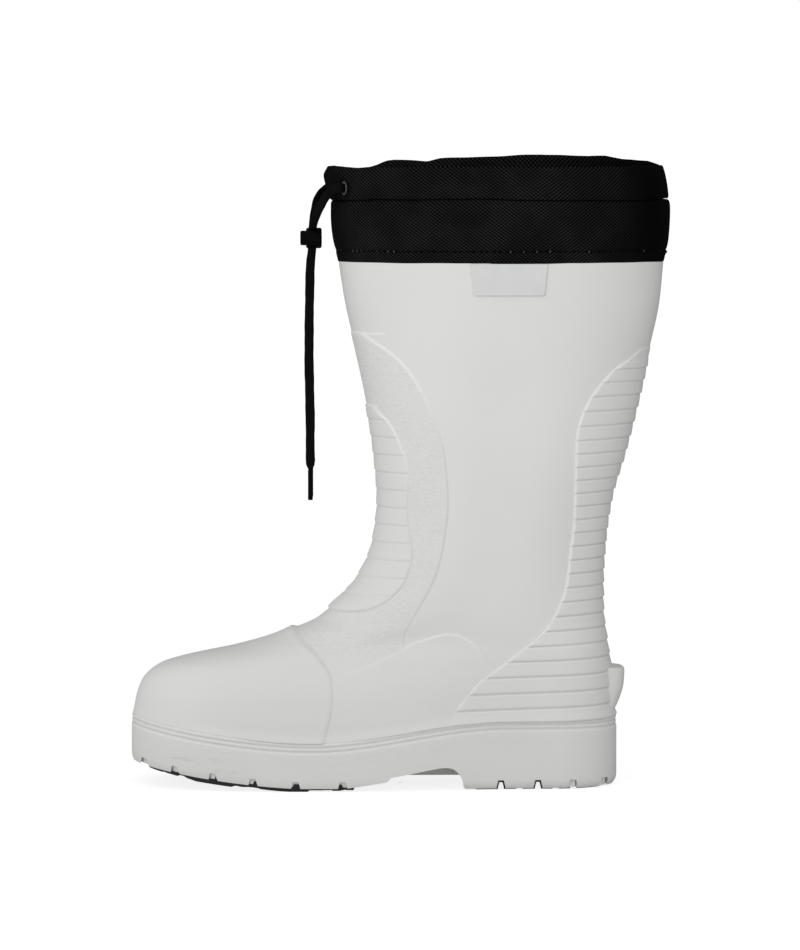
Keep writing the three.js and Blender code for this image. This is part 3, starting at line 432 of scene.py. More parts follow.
def mesh_object(name, points, faces, material, uv=None, masks=None, sharp=None, normals=None):
    """An object from points in millimetres and faces of 3 or 4 corners, shaded smooth."""
    mesh = bpy.data.meshes.new(name)
    faces = [np.asarray(f, np.int32) for f in faces if len(f)]
    p = metres(np.asarray(points, float).reshape(-1, 3))
    mesh.vertices.add(len(p))
    mesh.vertices.foreach_set("co", p.astype(np.float32).ravel())
    corners = np.concatenate([f.ravel() for f in faces])
    sizes = np.concatenate([np.full(len(f), f.shape[1], np.int32) for f in faces])
    starts = np.concatenate([[0], np.cumsum(sizes)[:-1]]).astype(np.int32)
    mesh.loops.add(len(corners))
    mesh.loops.foreach_set("vertex_index", corners.astype(np.int32))
    mesh.polygons.add(len(sizes))
    mesh.polygons.foreach_set("loop_start", starts)
    mesh.update(calc_edges=True)
    mesh.validate(clean_customdata=False)
    mesh.shade_smooth()
    if uv is not None:
        layer = mesh.uv_layers.new(name="cloth")
        used = np.empty(len(mesh.loops), np.int32)
        mesh.loops.foreach_get("vertex_index", used)
        corner_uv = np.asarray(uv, float).reshape(-1, 2)[used] / 1000
        layer.data.foreach_set("uv", corner_uv.astype(np.float32).ravel())
    for mask, values in (masks or {}).items():
        attribute = mesh.attributes.new(mask, "FLOAT", "POINT")
        attribute.data.foreach_set("value", np.asarray(values, np.float32).ravel())
    if sharp is not None:
        mesh.set_sharp_from_angle(angle=math.radians(sharp))
    if normals is not None:
        mesh.normals_split_custom_set_from_vertices(np.asarray(normals, float).reshape(-1, 3).tolist())
    mesh.materials.append(material)
    piece = bpy.data.objects.new(name, mesh)
    bpy.context.scene.collection.objects.link(piece)
    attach(piece, "root")
    return piece


def quads(rows, count, wrap=False, close=False):
    """Faces of a grid of points; wrap joins the row's ends, close joins the last row to the first."""
    r = np.arange(rows if close else rows - 1)[:, None]
    c = np.arange(count if wrap else count - 1)[None, :]
    r2, c2 = (r + 1) % rows, (c + 1) % count
    corners = (r * count + c, r * count + c2, r2 * count + c2, r2 * count + c)
    return np.stack(np.broadcast_arrays(*corners), -1).reshape(-1, 4)


def facing(points, faces, centre):
    """Faces turned so that the piece's surface looks away from a centre on the whole."""
    p = np.asarray(points, float).reshape(-1, 3)
    a, b, c = p[faces[:, 0]], p[faces[:, 1]], p[faces[:, 2]]
    outward = np.einsum("ij,ij->", np.cross(b - a, c - a), (a + c) / 2 - np.asarray(centre, float))
    return faces if outward > 0 else faces[:, ::-1]


# Materials
class Finish:
    """A node material, with short calls to add and join its nodes."""

    def __init__(self, name, **sockets):
        self.material = bpy.data.materials.new(name)
        self.material.use_nodes = True
        self.tree = self.material.node_tree
        self.shader = self.tree.nodes["Principled BSDF"]
        for socket, value in sockets.items():
            self.shader.inputs[socket.replace("_", " ")].default_value = value

    def add(self, kind, inputs=None, **settings):
        node = self.tree.nodes.new("ShaderNode" + kind)
        for key, value in settings.items():
            setattr(node, key, value)
        for key, value in (inputs or {}).items():
            if isinstance(value, bpy.types.NodeSocket):
                self.tree.links.new(value, node.inputs[key])
            else:
                node.inputs[key].default_value = value
        return node

    def math(self, operation, *values):
        return self.add("Math", dict(enumerate(values)), operation=operation).outputs[0]

    def place(self):
        return self.add("TexCoord").outputs["Object"]

    def cloth(self):
        return self.add("UVMap", uv_map="cloth").outputs["UV"]

    def mask(self, name):
        return self.add("Attribute", attribute_name=name).outputs["Fac"]

    def noise(self, where, scale, detail=2.0, roughness=0.5):
        settings = {"Vector": where, "Scale": scale, "Detail": detail, "Roughness": roughness}
        return self.add("TexNoise", settings).outputs["Fac"]

    def range(self, value, low, high, to_low, to_high, kind="SMOOTHSTEP"):
        settings = {"Value": value, "From Min": low, "From Max": high, "To Min": to_low, "To Max": to_high}
        return self.add("MapRange", settings, interpolation_type=kind).outputs["Result"]

    def colours(self, share, low, high):
        mixer = self.add("Mix", data_type="RGBA")
        self.tree.links.new(share, mixer.inputs["Factor"])
        for key, value in (("A", low), ("B", high)):
            socket = next(s for s in mixer.inputs if s.name == key and s.type == "RGBA")
            if isinstance(value, bpy.types.NodeSocket):
                self.tree.links.new(value, socket)
            else:
                socket.default_value = (*value, 1)
        return next(s for s in mixer.outputs if s.type == "RGBA")

    def bump(self, height, distance, strength=1.0, normal=None):
        inputs = {"Height": height, "Distance": distance, "Strength": strength}
        if normal is not None:
            inputs["Normal"] = normal
        return self.add("Bump", inputs).outputs["Normal"]

    def finish(self, colour=None, roughness=None, normal=None):
        for socket, value in (("Base Color", colour), ("Roughness", roughness), ("Normal", normal)):
            if value is not None:
                self.tree.links.new(value, self.shader.inputs[socket])
        return self.material


def spot(f, where, centre, size):
    """1 at a place on the outer side, falling to 0 over its size in X and Z."""
    shifted = f.add("VectorMath", {0: where, 1: metres(centre).tolist()}, operation="SUBTRACT").outputs[0]
    scaled = f.add("VectorMath", {0: shifted, 1: [1000 / s for s in size]}, operation="MULTIPLY").outputs[0]
    length = f.add("VectorMath", {0: scaled}, operation="LENGTH").outputs["Value"]
    return f.range(length, 0.3, 1.0, 1.0, 0.0)


SCUFFS = (  # X, Y and Z of the middle, size in each direction, and strength
    ((262, 55, 19), (24, 30, 4.2), 0.5),
    ((280, 50, 19.5), (9, 30, 2.6), 0.4),
    ((243, 58, 12), (16, 30, 2.6), 0.4),
    ((36.5, 40, 65.6), (3.6, 16, 1.7), 0.45),
)


def line(f, distance, centre, half):
    """1 on a line at a distance in millimetres from an edge, 0 further than half from it."""
    away = f.math("ABSOLUTE", f.math("SUBTRACT", f.mask(distance), centre))
    return f.range(away, 0.15 * half, half, 1.0, 0.0)


def edge_lines(f, where, colour, edges):
    """Painted highlight and painted shade lines along the shell's edges: a painted highlight where an edge faces up,
    painted shade where it faces down.
    """
    parts = f.add("SeparateXYZ", {0: where})
    z = f.math("MULTIPLY", parts.outputs["Z"], 1000.0)
    x = f.math("MULTIPLY", parts.outputs["X"], 1000.0)
    for distance, centre, half, strength, axis, off, full, lowest, shade in edges:
        share = f.range({"x": x, "z": z}[axis], off, full, 0.0, strength)
        share = f.math("MULTIPLY", share, f.range(z, lowest, lowest + 9, 0.0, 1.0))
        colour = f.colours(f.math("MULTIPLY", line(f, distance, centre, half), share), colour, shade)
    return colour


# Colours painted in for light and shade: LIT is a painted highlight, SHADED is painted shade.
LIT = (0.93, 0.935, 0.92)
SHADED = (0.5, 0.51, 0.5)
# Painted highlight and painted shade lines on the upper. Columns: distance, its centre and half width, strength,
# axis it fades along, where it is off and full, lowest Z, and the colour painted in: LIT for a painted highlight,
# SHADED for painted shade
PAINTED_EDGE_LINES = (
    ("panel", 0.0, 1.2, 0.62, "z", 226, 262, -99, LIT),
    ("panel", -0.2, 0.8, 0.28, "z", 240, 196, 84, SHADED),
    ("ribs", 0.0, 0.95, 0.55, "z", 188, 226, -99, LIT),
    ("ribs", -0.2, 0.7, 0.16, "z", 196, 178, -99, SHADED),
    ("field", 0.0, 0.85, 0.5, "z", 44, 56, -99, LIT),
    ("cap", -0.3, 0.8, 0.17, "z", 112, 96, -99, SHADED),
    ("notch", 0.0, 0.8, 0.3, "z", 300, 150, -99, SHADED),
    ("rib_top", 0.0, 0.7, 0.3, "z", 300, 200, -99, LIT),
    ("ridge", 0.2, 1.3, 0.3, "x", 40, -4, 86, LIT),
    ("ridge", 0.2, 1.3, 0.3, "x", 40, 12, 62, LIT),
)
# Painted highlight and painted shade lines along the rand's beads, placed by their drop below the welt line, in the
# same columns.
PAINTED_RAND_LINES = (
    ("drop", 0.3, 0.6, 0.3, "z", 300, 200, -99, LIT),
    ("drop", 2.15, 0.7, 0.2, "z", 300, 200, -99, SHADED),
    ("drop", 3.4, 0.6, 0.3, "z", 300, 200, -99, LIT),
    ("drop", 4.85, 0.7, 0.24, "z", 300, 200, -99, SHADED),
    ("drop", 6.3, 0.6, 0.3, "z", 300, 200, -99, LIT),
    ("drop", 13.6, 0.6, 0.08, "z", 300, 200, -99, SHADED),
)


def foam_finish(name, grain=True, edges=()):
    f = Finish(name, Specular_IOR_Level=0.32, Subsurface_Weight=0.0)
    where = f.place()
    cloud = f.noise(where, 14.0, 3.0)
    colour = f.colours(f.range(cloud, 0.35, 0.65, 0.0, 1.0), (0.785, 0.793, 0.775), (0.805, 0.81, 0.792))
    streaked = f.add("VectorMath", {0: where, 1: (0.3, 0.3, 1.6)}, operation="MULTIPLY").outputs[0]
    smear = f.range(f.noise(streaked, 240.0, 5.0, 0.75), 0.44, 0.7, 0.0, 1.0)
    for centre, size, strength in SCUFFS:
        amount = f.math("MULTIPLY", f.math("MULTIPLY", spot(f, where, centre, size), smear), strength)
        colour = f.colours(amount, colour, (0.42, 0.425, 0.41))
    height = f.math("MULTIPLY", f.noise(where, 1500.0, 2.0), 0.12)
    colour = edge_lines(f, where, colour, edges)
    if grain:
        cells = f.add("TexVoronoi", {"Vector": where, "Scale": 560.0}, feature="F1").outputs["Distance"]
        warped = f.add("VectorMath", {0: where, 1: (1.0, 1.0, 2.3)}, operation="MULTIPLY").outputs[0]
        wrinkle = f.noise(warped, 330.0, 4.0, 0.6)
        leather = f.math("ADD", f.math("MULTIPLY", cells, 2.4), f.math("MULTIPLY", wrinkle, 5.0))
        leather = f.math("SUBTRACT", leather, 3.5)
        # Painted shade in the leather grain's wrinkle valleys and a painted highlight on its crests.
        painted_crease_shade = f.math("MULTIPLY", f.range(wrinkle, 0.36, 0.54, 0.04, 0.0), f.mask("grain"))
        colour = f.colours(painted_crease_shade, colour, SHADED)
        painted_crest_highlight = f.math("MULTIPLY", f.range(wrinkle, 0.46, 0.64, 0.0, 0.1), f.mask("grain"))
        colour = f.colours(painted_crest_highlight, colour, LIT)
        height = f.math("ADD", height, f.math("MULTIPLY", leather, f.mask("grain")))
    turned = f.add("VectorRotate", {"Vector": where, "Axis": (0, 1, 0), "Angle": math.radians(-38)},
                   rotation_type="AXIS_ANGLE").outputs[0]
    slanted = f.add("SeparateXYZ", {0: turned})
    stripes = f.math("SINE", f.math("MULTIPLY", slanted.outputs["Z"], 2 * math.pi / 0.00138))
    along = f.math("SINE", f.math("MULTIPLY", slanted.outputs["X"], 2 * math.pi / 0.0026))
    hatch = f.math("ADD", f.math("MULTIPLY", stripes, 0.3), f.math("MULTIPLY", along, 0.1))
    # The hatch's stripes are also painted into the colour, alternating painted shade and painted highlight.
    for lean, strength, shade in ((0.5, 0.2, SHADED), (-0.5, 0.42, LIT)):
        share = f.math("MULTIPLY", f.math("MULTIPLY_ADD", stripes, lean, 0.5), f.mask("hatch"))
        colour = f.colours(f.math("MULTIPLY", share, strength), colour, shade)
    height = f.math("ADD", height, f.math("MULTIPLY", hatch, f.mask("hatch")))
    rough = f.range(cloud, 0.3, 0.7, 0.48, 0.58)
    return f.finish(colour, rough, f.bump(height, 0.00016, 0.7))


def rubber_finish():
    f = Finish("tread_rubber", Specular_IOR_Level=0.3)
    where = f.place()
    dust = f.range(f.noise(where, 90.0, 5.0, 0.7), 0.5, 0.75, 0.0, 0.5)
    colour = f.colours(dust, (0.008, 0.008, 0.009), (0.03, 0.029, 0.027))
    fine = f.noise(where, 900.0, 3.0)
    return f.finish(colour, f.range(dust, 0, 0.5, 0.6, 0.85), f.bump(fine, 0.0002, 0.5))


def wave(f, value, pitch, phase=0.0):
    return f.math("COSINE", f.math("ADD", f.math("MULTIPLY", value, 2 * math.pi / pitch), phase))


def fabric_finish():
    """A coarse slanting weave with a stitched line along the hem. The slant that shows changes along the cuff."""
    pitch, low, high = (0.00272, 0.00208), (0.0007, 0.0007, 0.0008), (0.0285, 0.028, 0.0272)
    f = Finish("cuff_fabric", Specular_IOR_Level=0.03)
    uv = f.cloth()
    parts = f.add("SeparateXYZ", {0: uv})
    u, v = parts.outputs["X"], parts.outputs["Y"]
    x = f.add("SeparateXYZ", {0: f.place()}).outputs["X"]
    wobble = f.math("MULTIPLY", f.math("SUBTRACT", f.noise(uv, 26.0, 1.0), 0.5), 0.0009)
    a = f.math("ADD", f.math("DIVIDE", u, pitch[0]), f.math("DIVIDE", wobble, pitch[0]))
    b = f.math("DIVIDE", f.math("ADD", v, wobble), pitch[1])
    rising = wave(f, f.math("ADD", a, b), 1.0)
    falling = wave(f, f.math("SUBTRACT", a, b), 1.0)
    front = f.range(x, -0.1, -0.07, 0.64, 0.34)
    weave = f.math("ADD", f.math("MULTIPLY", rising, front),
                   f.math("MULTIPLY", falling, f.math("SUBTRACT", 0.97, front)))
    weave = f.math("ADD", f.math("MULTIPLY", weave, 0.5), 0.5)
    fibre = f.noise(uv, 2600.0, 2.0)
    fade = f.range(f.noise(uv, 40.0, 3.0), 0.35, 0.65, 0.6, 1.0)
    # The noise above is the cloth's own uneven tone; the two ranges below are painted shade, darkening the cuff
    # towards its back and towards its front.
    fade = f.math("MULTIPLY", fade, f.range(x, -0.158, -0.112, 0.12, 1.0))
    fade = f.math("MULTIPLY", fade, f.range(x, 0.024, 0.044, 1.0, 0.25))
    share = f.math("MULTIPLY", f.range(weave, 0.25, 1.0, 0.0, 1.0), fade)
    colour = f.colours(share, low, high)
    off_row = f.math("ABSOLUTE", f.math("SUBTRACT", v, STITCH_ROW))
    row = f.range(off_row, 0.0003, 0.0009, 1.0, 0.0)
    dash = f.range(wave(f, u, 0.0041), -0.5, 0.2, 0.2, 0.85)
    colour = f.colours(f.math("MULTIPLY", row, dash), colour, (0.0006, 0.0006, 0.0006))
    # Painted glints: small painted highlights on some of the stitches.
    glint = f.math("MULTIPLY", f.range(wave(f, u, 0.0041, math.pi), 0.86, 0.97, 0.0, 1.0),
                   f.range(f.noise(uv, 170.0, 0.0), 0.6, 0.64, 0.0, 1.0))
    glint = f.math("MULTIPLY", glint, f.range(off_row, 0.0001, 0.0006, 1.0, 0.0))
    colour = f.colours(glint, colour, (0.17, 0.17, 0.16))
    height = f.math("ADD", weave, f.math("MULTIPLY", fibre, 0.25))
    return f.finish(colour, f.range(weave, 0, 1, 0.95, 0.8), f.bump(height, 0.0003, 0.8))


def cord_finish():
    f = Finish("braided_cord", Specular_IOR_Level=0.03)
    parts = f.add("SeparateXYZ", {0: f.cloth()})
    u, v = parts.outputs["X"], parts.outputs["Y"]
    a = f.math("SINE", f.math("MULTIPLY", f.math("ADD", u, v), 2 * math.pi / 0.0013))
    b = f.math("SINE", f.math("MULTIPLY", f.math("SUBTRACT", u, v), 2 * math.pi / 0.0013))
    braid = f.math("ADD", f.math("MULTIPLY", f.math("MAXIMUM", a, b), 0.5), 0.5)
    colour = f.colours(braid, (0.0012, 0.0012, 0.0012), (0.006, 0.006, 0.006))
    return f.finish(colour, f.range(braid, 0, 1, 0.95, 0.8), f.bump(braid, 0.0002, 0.8))


def plastic_finish():
    f = Finish("gloss_black_plastic", Specular_IOR_Level=0.035)
    where = f.place()
    wear = f.range(f.noise(where, 700.0, 4.0, 0.7), 0.55, 0.75, 0.0, 1.0)
    colour = f.colours(wear, (0.0016, 0.0016, 0.0017), (0.004, 0.004, 0.004))
    fine = f.noise(where, 1500.0, 2.0)
    return f.finish(colour, f.range(wear, 0, 1, 0.24, 0.42), f.bump(fine, 0.00005, 0.4))


def metal_finish():
    f = Finish("eyelet_metal", Metallic=1.0)
    where = f.place()
    wear = f.noise(where, 1200.0, 3.0)
    colour = f.colours(f.range(wear, 0.3, 0.7, 0, 1), (0.05, 0.05, 0.048), (0.13, 0.125, 0.12))
    return f.finish(colour, f.range(wear, 0.3, 0.7, 0.28, 0.45), f.bump(wear, 0.00004, 0.4))


def label_finish():
    f = Finish("label_plastic", Specular_IOR_Level=0.4)
    where = f.place()
    cloud = f.noise(where, 60.0, 3.0)
    colour = f.colours(f.range(cloud, 0.3, 0.7, 0, 1), (0.70, 0.71, 0.70), (0.735, 0.745, 0.735))
    fine = f.noise(where, 1400.0, 2.0)
    return f.finish(colour, f.range(cloud, 0.3, 0.7, 0.38, 0.5), f.bump(fine, 0.00006, 0.5))


def felt_finish():
    f = Finish("insole_felt", Specular_IOR_Level=0.1, Sheen_Weight=0.2)
    where = f.place()
    fibre = f.noise(where, 1500.0, 5.0, 0.75)
    colour = f.colours(f.range(fibre, 0.3, 0.7, 0, 1), (0.055, 0.056, 0.06), (0.13, 0.13, 0.135))
    return f.finish(colour, f.range(fibre, 0.3, 0.7, 0.98, 0.85), f.bump(fibre, 0.0006, 0.8))


STITCH_ROW = (HEM + 7.2) / 1000  # cloth coordinate of the stitches along the hem
# The two outer foams carry painted highlight and painted shade lines: along the rand's beads, and along the upper's
# edges.
FOAM = foam_finish("moulded_foam", edges=PAINTED_RAND_LINES)
FOAM_WITH_PAINTED_EDGES = foam_finish("moulded_foam_with_painted_edges", edges=PAINTED_EDGE_LINES)
FOAM_PLAIN = foam_finish("moulded_foam_inside", grain=False)
RUBBER = rubber_finish()
FABRIC = fabric_finish()
CORD = cord_finish()
PLASTIC = plastic_finish()
METAL = metal_finish()
LABEL = label_finish()
FELT = felt_finish()

# Camera: level with the cuff's middle, 3.5 m from the boot's middle plane, tilted a little down
CAMERA_DISTANCE = 3.5
CAMERA_HEIGHT = 0.4
VIEW_MIDDLE = 0.1929  # height in the boot's middle plane that is in the middle of the picture
PICTURE_HEIGHT = 0.594
camera_data = bpy.data.cameras.new("camera")
camera_data.sensor_fit = "VERTICAL"
camera_data.sensor_height = 36
camera_data.lens = 36 * math.hypot(CAMERA_DISTANCE, CAMERA_HEIGHT - VIEW_MIDDLE) / PICTURE_HEIGHT
camera_data.clip_end = 60
camera = bpy.data.objects.new("camera", camera_data)
camera.location = (-0.00004, CAMERA_DISTANCE, CAMERA_HEIGHT)
camera.rotation_euler = (math.pi / 2 - math.atan2(CAMERA_HEIGHT - VIEW_MIDDLE, CAMERA_DISTANCE), 0, math.pi)
bpy.context.scene.collection.objects.link(camera)
bpy.context.scene.camera = camera


# Drawcord: two flat laces out of the eyelets, through the lock and down
EYELET_STATION = 0.88
EYELET_DROP = 13.0
EYELET_CLEAR = 0.7
EYELET_RISE = 0.9
LACE_WIDTH = 5.6
LACE_THICKNESS = 2.4
LACE_ROUTES = {
    "outer": (
        (177.8, 30.5, 371.2), (181.2, 25, 367.4), (184.2, 18, 362.4), (186.9, 10.5, 357), (188.9, 4.8, 351.9),
        (190.1, 1.6, 347.2), (190.2, 1.4, 340), (190.6, 1.5, 333), (191.4, 1.6, 326), (191.9, 1.7, 312),
        (192.2, 1.6, 296), (192.5, 1.9, 268), (192.2, 1.6, 248), (191.8, 1.7, 228), (191.7, 1.6, 212),
        (191.6, 1.6, 196.6),
    ),
    "inner": (
        (178.6, -30.5, 373), (181.9, -25, 371.5), (185, -18.5, 368.6), (187.2, -13, 364.8), (188.3, -8.4, 360),
        (189.2, -4.6, 354.8), (190.1, -1.7, 348.2), (190.2, -1.4, 341), (190.6, -1.5, 333), (191.3, -1.7, 326),
        (191.8, -1.6, 312), (192.1, -1.7, 296), (192.3, -1.9, 268), (192, -1.7, 248), (191.6, -1.6, 228),
        (191.8, -1.7, 212), (191.4, -1.6, 198.4),
    ),
}
AGLET_DIAMETER = 3.1


def casing_lean(turn, share):
    ahead = smooth((np.cos(math.pi * (turn - 1)) + 1) / 2)
    front = np.exp(-(((turn - 1) / 0.1) ** 2))
    return share * mix(-2.8, 1.6, ahead) + 1.8 * front * smooth(share * 1.4) - 0.4


def flat_normal(z, turn):
    n = surface_normal(z, turn)
    n[..., 2] = 0
    return unit(n)


def eyelet_frame(side):
    turn = EYELET_STATION if side > 0 else 2 - EYELET_STATION
    z = SEAM + GAP + CASING_HEIGHT - EYELET_DROP
    normal = flat_normal(SEAM, turn)
    share = 1 - EYELET_DROP / CASING_HEIGHT
    point = surface(z, turn) + normal * (casing_lean(turn, share) + CASING_THICKNESS / 2)
    return point, normal


def centripetal(points, steps):
    """Evenly spaced points of the centripetal Catmull-Rom curve through the given points."""
    p = np.asarray(points, float)
    p = np.vstack([2 * p[0] - p[1], p, 2 * p[-1] - p[-2]])
    rows = []
    for i in range(1, len(p) - 2):
        p0, p1, p2, p3 = p[i - 1:i + 3]
        t0 = 0.0
        t1 = t0 + np.linalg.norm(p1 - p0) ** 0.5
        t2 = t1 + np.linalg.norm(p2 - p1) ** 0.5
        t3 = t2 + np.linalg.norm(p3 - p2) ** 0.5
        t = np.linspace(t1, t2, 24, endpoint=False)[:, None]
        a1 = (t1 - t) / (t1 - t0) * p0 + (t - t0) / (t1 - t0) * p1
        a2 = (t2 - t) / (t2 - t1) * p1 + (t - t1) / (t2 - t1) * p2
        a3 = (t3 - t) / (t3 - t2) * p2 + (t - t2) / (t3 - t2) * p3
        b1 = (t2 - t) / (t2 - t0) * a1 + (t - t0) / (t2 - t0) * a2
        b2 = (t3 - t) / (t3 - t1) * a2 + (t - t1) / (t3 - t1) * a3
        rows.append((t2 - t) / (t2 - t1) * b1 + (t - t1) / (t2 - t1) * b2)
    fine = np.vstack([*rows, p[-2:-1]])
    length = np.concatenate([[0], np.cumsum(np.linalg.norm(np.diff(fine, axis=0), axis=1))])
    even = np.linspace(0, length[-1], steps + 1)
    return np.stack([np.interp(even, length, fine[:, k]) for k in range(3)], 1), length[-1]


def end_fans(rows, sides):
    """Faces that close a tube's two ends round their middles, which are the last two points."""
    k = np.arange(sides)
    after = (k + 1) % sides
    first, last = np.full(sides, rows * sides), (rows - 1) * sides
    return np.stack([first, after, k], 1), np.stack([first + 1, last + k, last + after], 1)


def make_lace(name, side):
    point, normal = eyelet_frame(side)
    start = point + normal * (EYELET_CLEAR + EYELET_RISE + GAP)
    centre, length = centripetal([start, point + normal * 4.6, *LACE_ROUTES[name]], 320)
    along = unit(np.gradient(centre, axis=0))
    wide = np.stack([np.maximum(0, -along[:, 2]), np.zeros(len(along)),
                     np.sqrt(np.maximum(0, 1 - along[:, 2] ** 2))], 1)
    wide = unit(wide - along * np.einsum("ij,ij->i", wide, along)[:, None])
    thin = np.cross(along, wide)
    run = np.linspace(0, length, len(centre))
    taper = 1 - 0.45 * smooth((run - length + 4.5) / 4.5) ** 2
    pinch = 1 - 0.16 * np.exp(-(((centre[:, 2] - 341) / 9) ** 2))
    crumple = 1 + 0.025 * np.sin(run * 0.23 + side) + 0.018 * np.sin(run * 0.61 + 2 * side)
    a = np.linspace(0, 2 * math.pi, 28, endpoint=False)
    cos = np.sign(np.cos(a)) * np.abs(np.cos(a)) ** 0.8
    sin = np.sign(np.sin(a)) * np.abs(np.sin(a)) ** 0.8
    half_wide = (LACE_WIDTH / 2 * taper * pinch * crumple)[:, None, None]
    half_thin = (LACE_THICKNESS / 2 * (1 - 0.2 * (1 - taper)))[:, None, None]
    points = centre[:, None] + wide[:, None] * cos[None, :, None] * half_wide \
        + thin[:, None] * sin[None, :, None] * half_thin
    rows = len(centre)
    uv = np.stack(np.broadcast_arrays(a[None, :] / (2 * math.pi) * 13.0, run[:, None]), -1)
    ends = np.vstack([centre[0], centre[-1] + along[-1] * 0.6])
    faces = quads(rows, len(a), wrap=True)
    all_points = np.vstack([points.reshape(-1, 3), ends])
    all_uv = np.vstack([uv.reshape(-1, 2), [[0, 0], [0, length]]])
    piece = mesh_object(f"lace_{name}", all_points, [faces, *end_fans(rows, len(a))], CORD, uv=all_uv)
    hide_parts(f"drawcord_{name}")
    return piece, centre, length


def lathe_along(profile_pairs, start, direction, sides):
    """Points of a turned shape: (distance along, radius) pairs from a start point along a direction."""
    direction = unit(np.asarray(direction, float))
    helper = np.array([0, 1.0, 0]) if abs(direction[1]) < 0.8 else np.array([1.0, 0, 0])
    first = unit(np.cross(direction, helper))
    second = np.cross(direction, first)
    a = np.linspace(0, 2 * math.pi, sides, endpoint=False)
    ring = first[None] * np.cos(a)[:, None] + second[None] * np.sin(a)[:, None]
    return np.stack([np.asarray(start) + direction * d + ring * r for d, r in profile_pairs])


def turned_piece(name, pairs, start, direction, sides, material, closed=False):
    points = lathe_along(pairs, start, direction, sides)
    rows = len(points)
    faces = [quads(rows, sides, wrap=True, close=closed)]
    flat = points.reshape(-1, 3)
    if not closed:
        faces += end_fans(rows, sides)
        flat = np.vstack([flat, points[0].mean(0), points[-1].mean(0)])
    return mesh_object(name, flat, faces, material)


def right_way_out(piece):
    """Turns a closed piece's faces outwards."""
    bm = bmesh.new()
    bm.from_mesh(piece.data)
    bmesh.ops.recalc_face_normals(bm, faces=bm.faces)
    bm.to_mesh(piece.data)
    bm.free()
    piece.data.update()


for name, side in (("outer", 1), ("inner", -1)):
    lace, centre, length = make_lace(name, side)
    right_way_out(lace)
    end = centre[-1] - [0, 0, GAP]
    radius = AGLET_DIAMETER / 2
    aglet = turned_piece(
        f"lace_tip_{name}",
        ((0, radius * 0.8), (0.25, radius * 0.94), (0.7, radius), (4, radius * 0.985), (9, radius * 0.98),
         (15, radius * 0.985), (18.2, radius), (18.75, radius * 0.92), (19, radius * 0.7)),
        end, (0, 0, -1), 32, PLASTIC)
    right_way_out(aglet)
    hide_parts(f"aglet_{name}")
    exit_point = metres(centre[0])
    path = [tuple(p) for p in metres(centre[::8]).tolist()]


# Shell
def ring_turns(*segments):
    return np.concatenate([np.linspace(a, b, n, endpoint=False) for a, b, n in segments])


def upper_rows():
    """Heights of the rows of the upper behind the heel and at the toe: close together at each rib's notch."""
    back_shares = (0, 0.04, 0.08, 0.12, 0.17, 0.24, 0.4, 0.6, 0.8, 0.9, 0.96)
    back = [float(back_notch_height(k + s)) for k in range(BACK_RIBS) for s in back_shares]
    top = float(back_notch_height(BACK_RIBS))
    back = np.concatenate([back, np.linspace(top, HEM + 1.0, 70)])
    low = float(welt_height(SOLE_LENGTH))
    fine = np.linspace(low, FRONT_RIB_START, 2000)
    x = section_at(fine)["front"]
    run = np.concatenate([[0], np.cumsum(np.hypot(np.diff(x), np.diff(fine)))])
    vamp = np.interp(np.linspace(0, run[-1], 121)[:-1], run, fine)
    front_shares = (0, 0.03, 0.06, 0.1, 0.15, 0.22, 0.34, 0.48, 0.62, 0.76, 0.88, 0.94, 0.98)
    ribs = [FRONT_RIB_START + (k + s) * FRONT_RIB_PITCH for k in range(FRONT_RIBS) for s in front_shares]
    end = FRONT_RIB_START + FRONT_RIBS * FRONT_RIB_PITCH
    front = np.concatenate([vamp, ribs, np.linspace(end, HEM + 1.0, len(back) - len(vamp) - len(ribs))])
    return back, front


def notch_gap(x, z, above):
    """Distance in height to the nearest line that lies a little above each notch between the ribs behind."""
    height = z + BACK_RIB_TILT * clamp(x, 0, 110) - above
    number = np.interp(height, RIB_HEIGHTS, RIB_NUMBERS)
    return np.abs(height - back_notch_height(np.round(number)))


def upper_masks(x, z):
    """Where the shell has leather grain and a fine hatch, and its distance to each edge in the side view."""
    panel = signed_distance(x, z, OUTLINES["panel"])
    ribs = signed_distance(x, z, OUTLINES["front"])
    cap = signed_distance(x, z, OUTLINES["cap"])
    field = signed_distance(x, z, OUTLINES["back"])
    # These two distances place the painted shade line just above each notch and the painted highlight line on the
    # top of the rib below it.
    notch = notch_gap(x, z, 0.5) + 9 * (field < 0.4)
    rib_top = notch_gap(x, z, -0.7) + 9 * (field < 0.4)
    ridge = below_ankle(x, z)
    ridge = np.where((x < 86) & (ridge > -3), -3, ridge)
    off_cap = 1 - smooth((cap + 1.5) / 1.5)
    grain = smooth((panel - 0.6) / 1.2) * (1 - smooth((ribs + 1.2) / 1.2)) * off_cap * smooth((z - 66) / 24)
    hatch = 0.4 * off_cap * (1 - smooth((field + 1.5) / 1.5)) * smooth((below_ankle(x, z) - 0.5) / 3)
    return {
        "grain": grain,
        "hatch": hatch,
        "panel": panel,
        "ribs": ribs,
        "cap": cap,
        "field": field,
        "notch": notch,
        "rib_top": rib_top,
        "ridge": ridge,
    }


def bell(d, width):
    return np.exp(-((d / width) ** 2))


UPPER_PIECES = (  # name, first and last turn
    ("shell_outer_rear", 0, 0.47), ("shell_outer_fore", 0.47, 1), ("shell_inner_side", 1, 2),
)


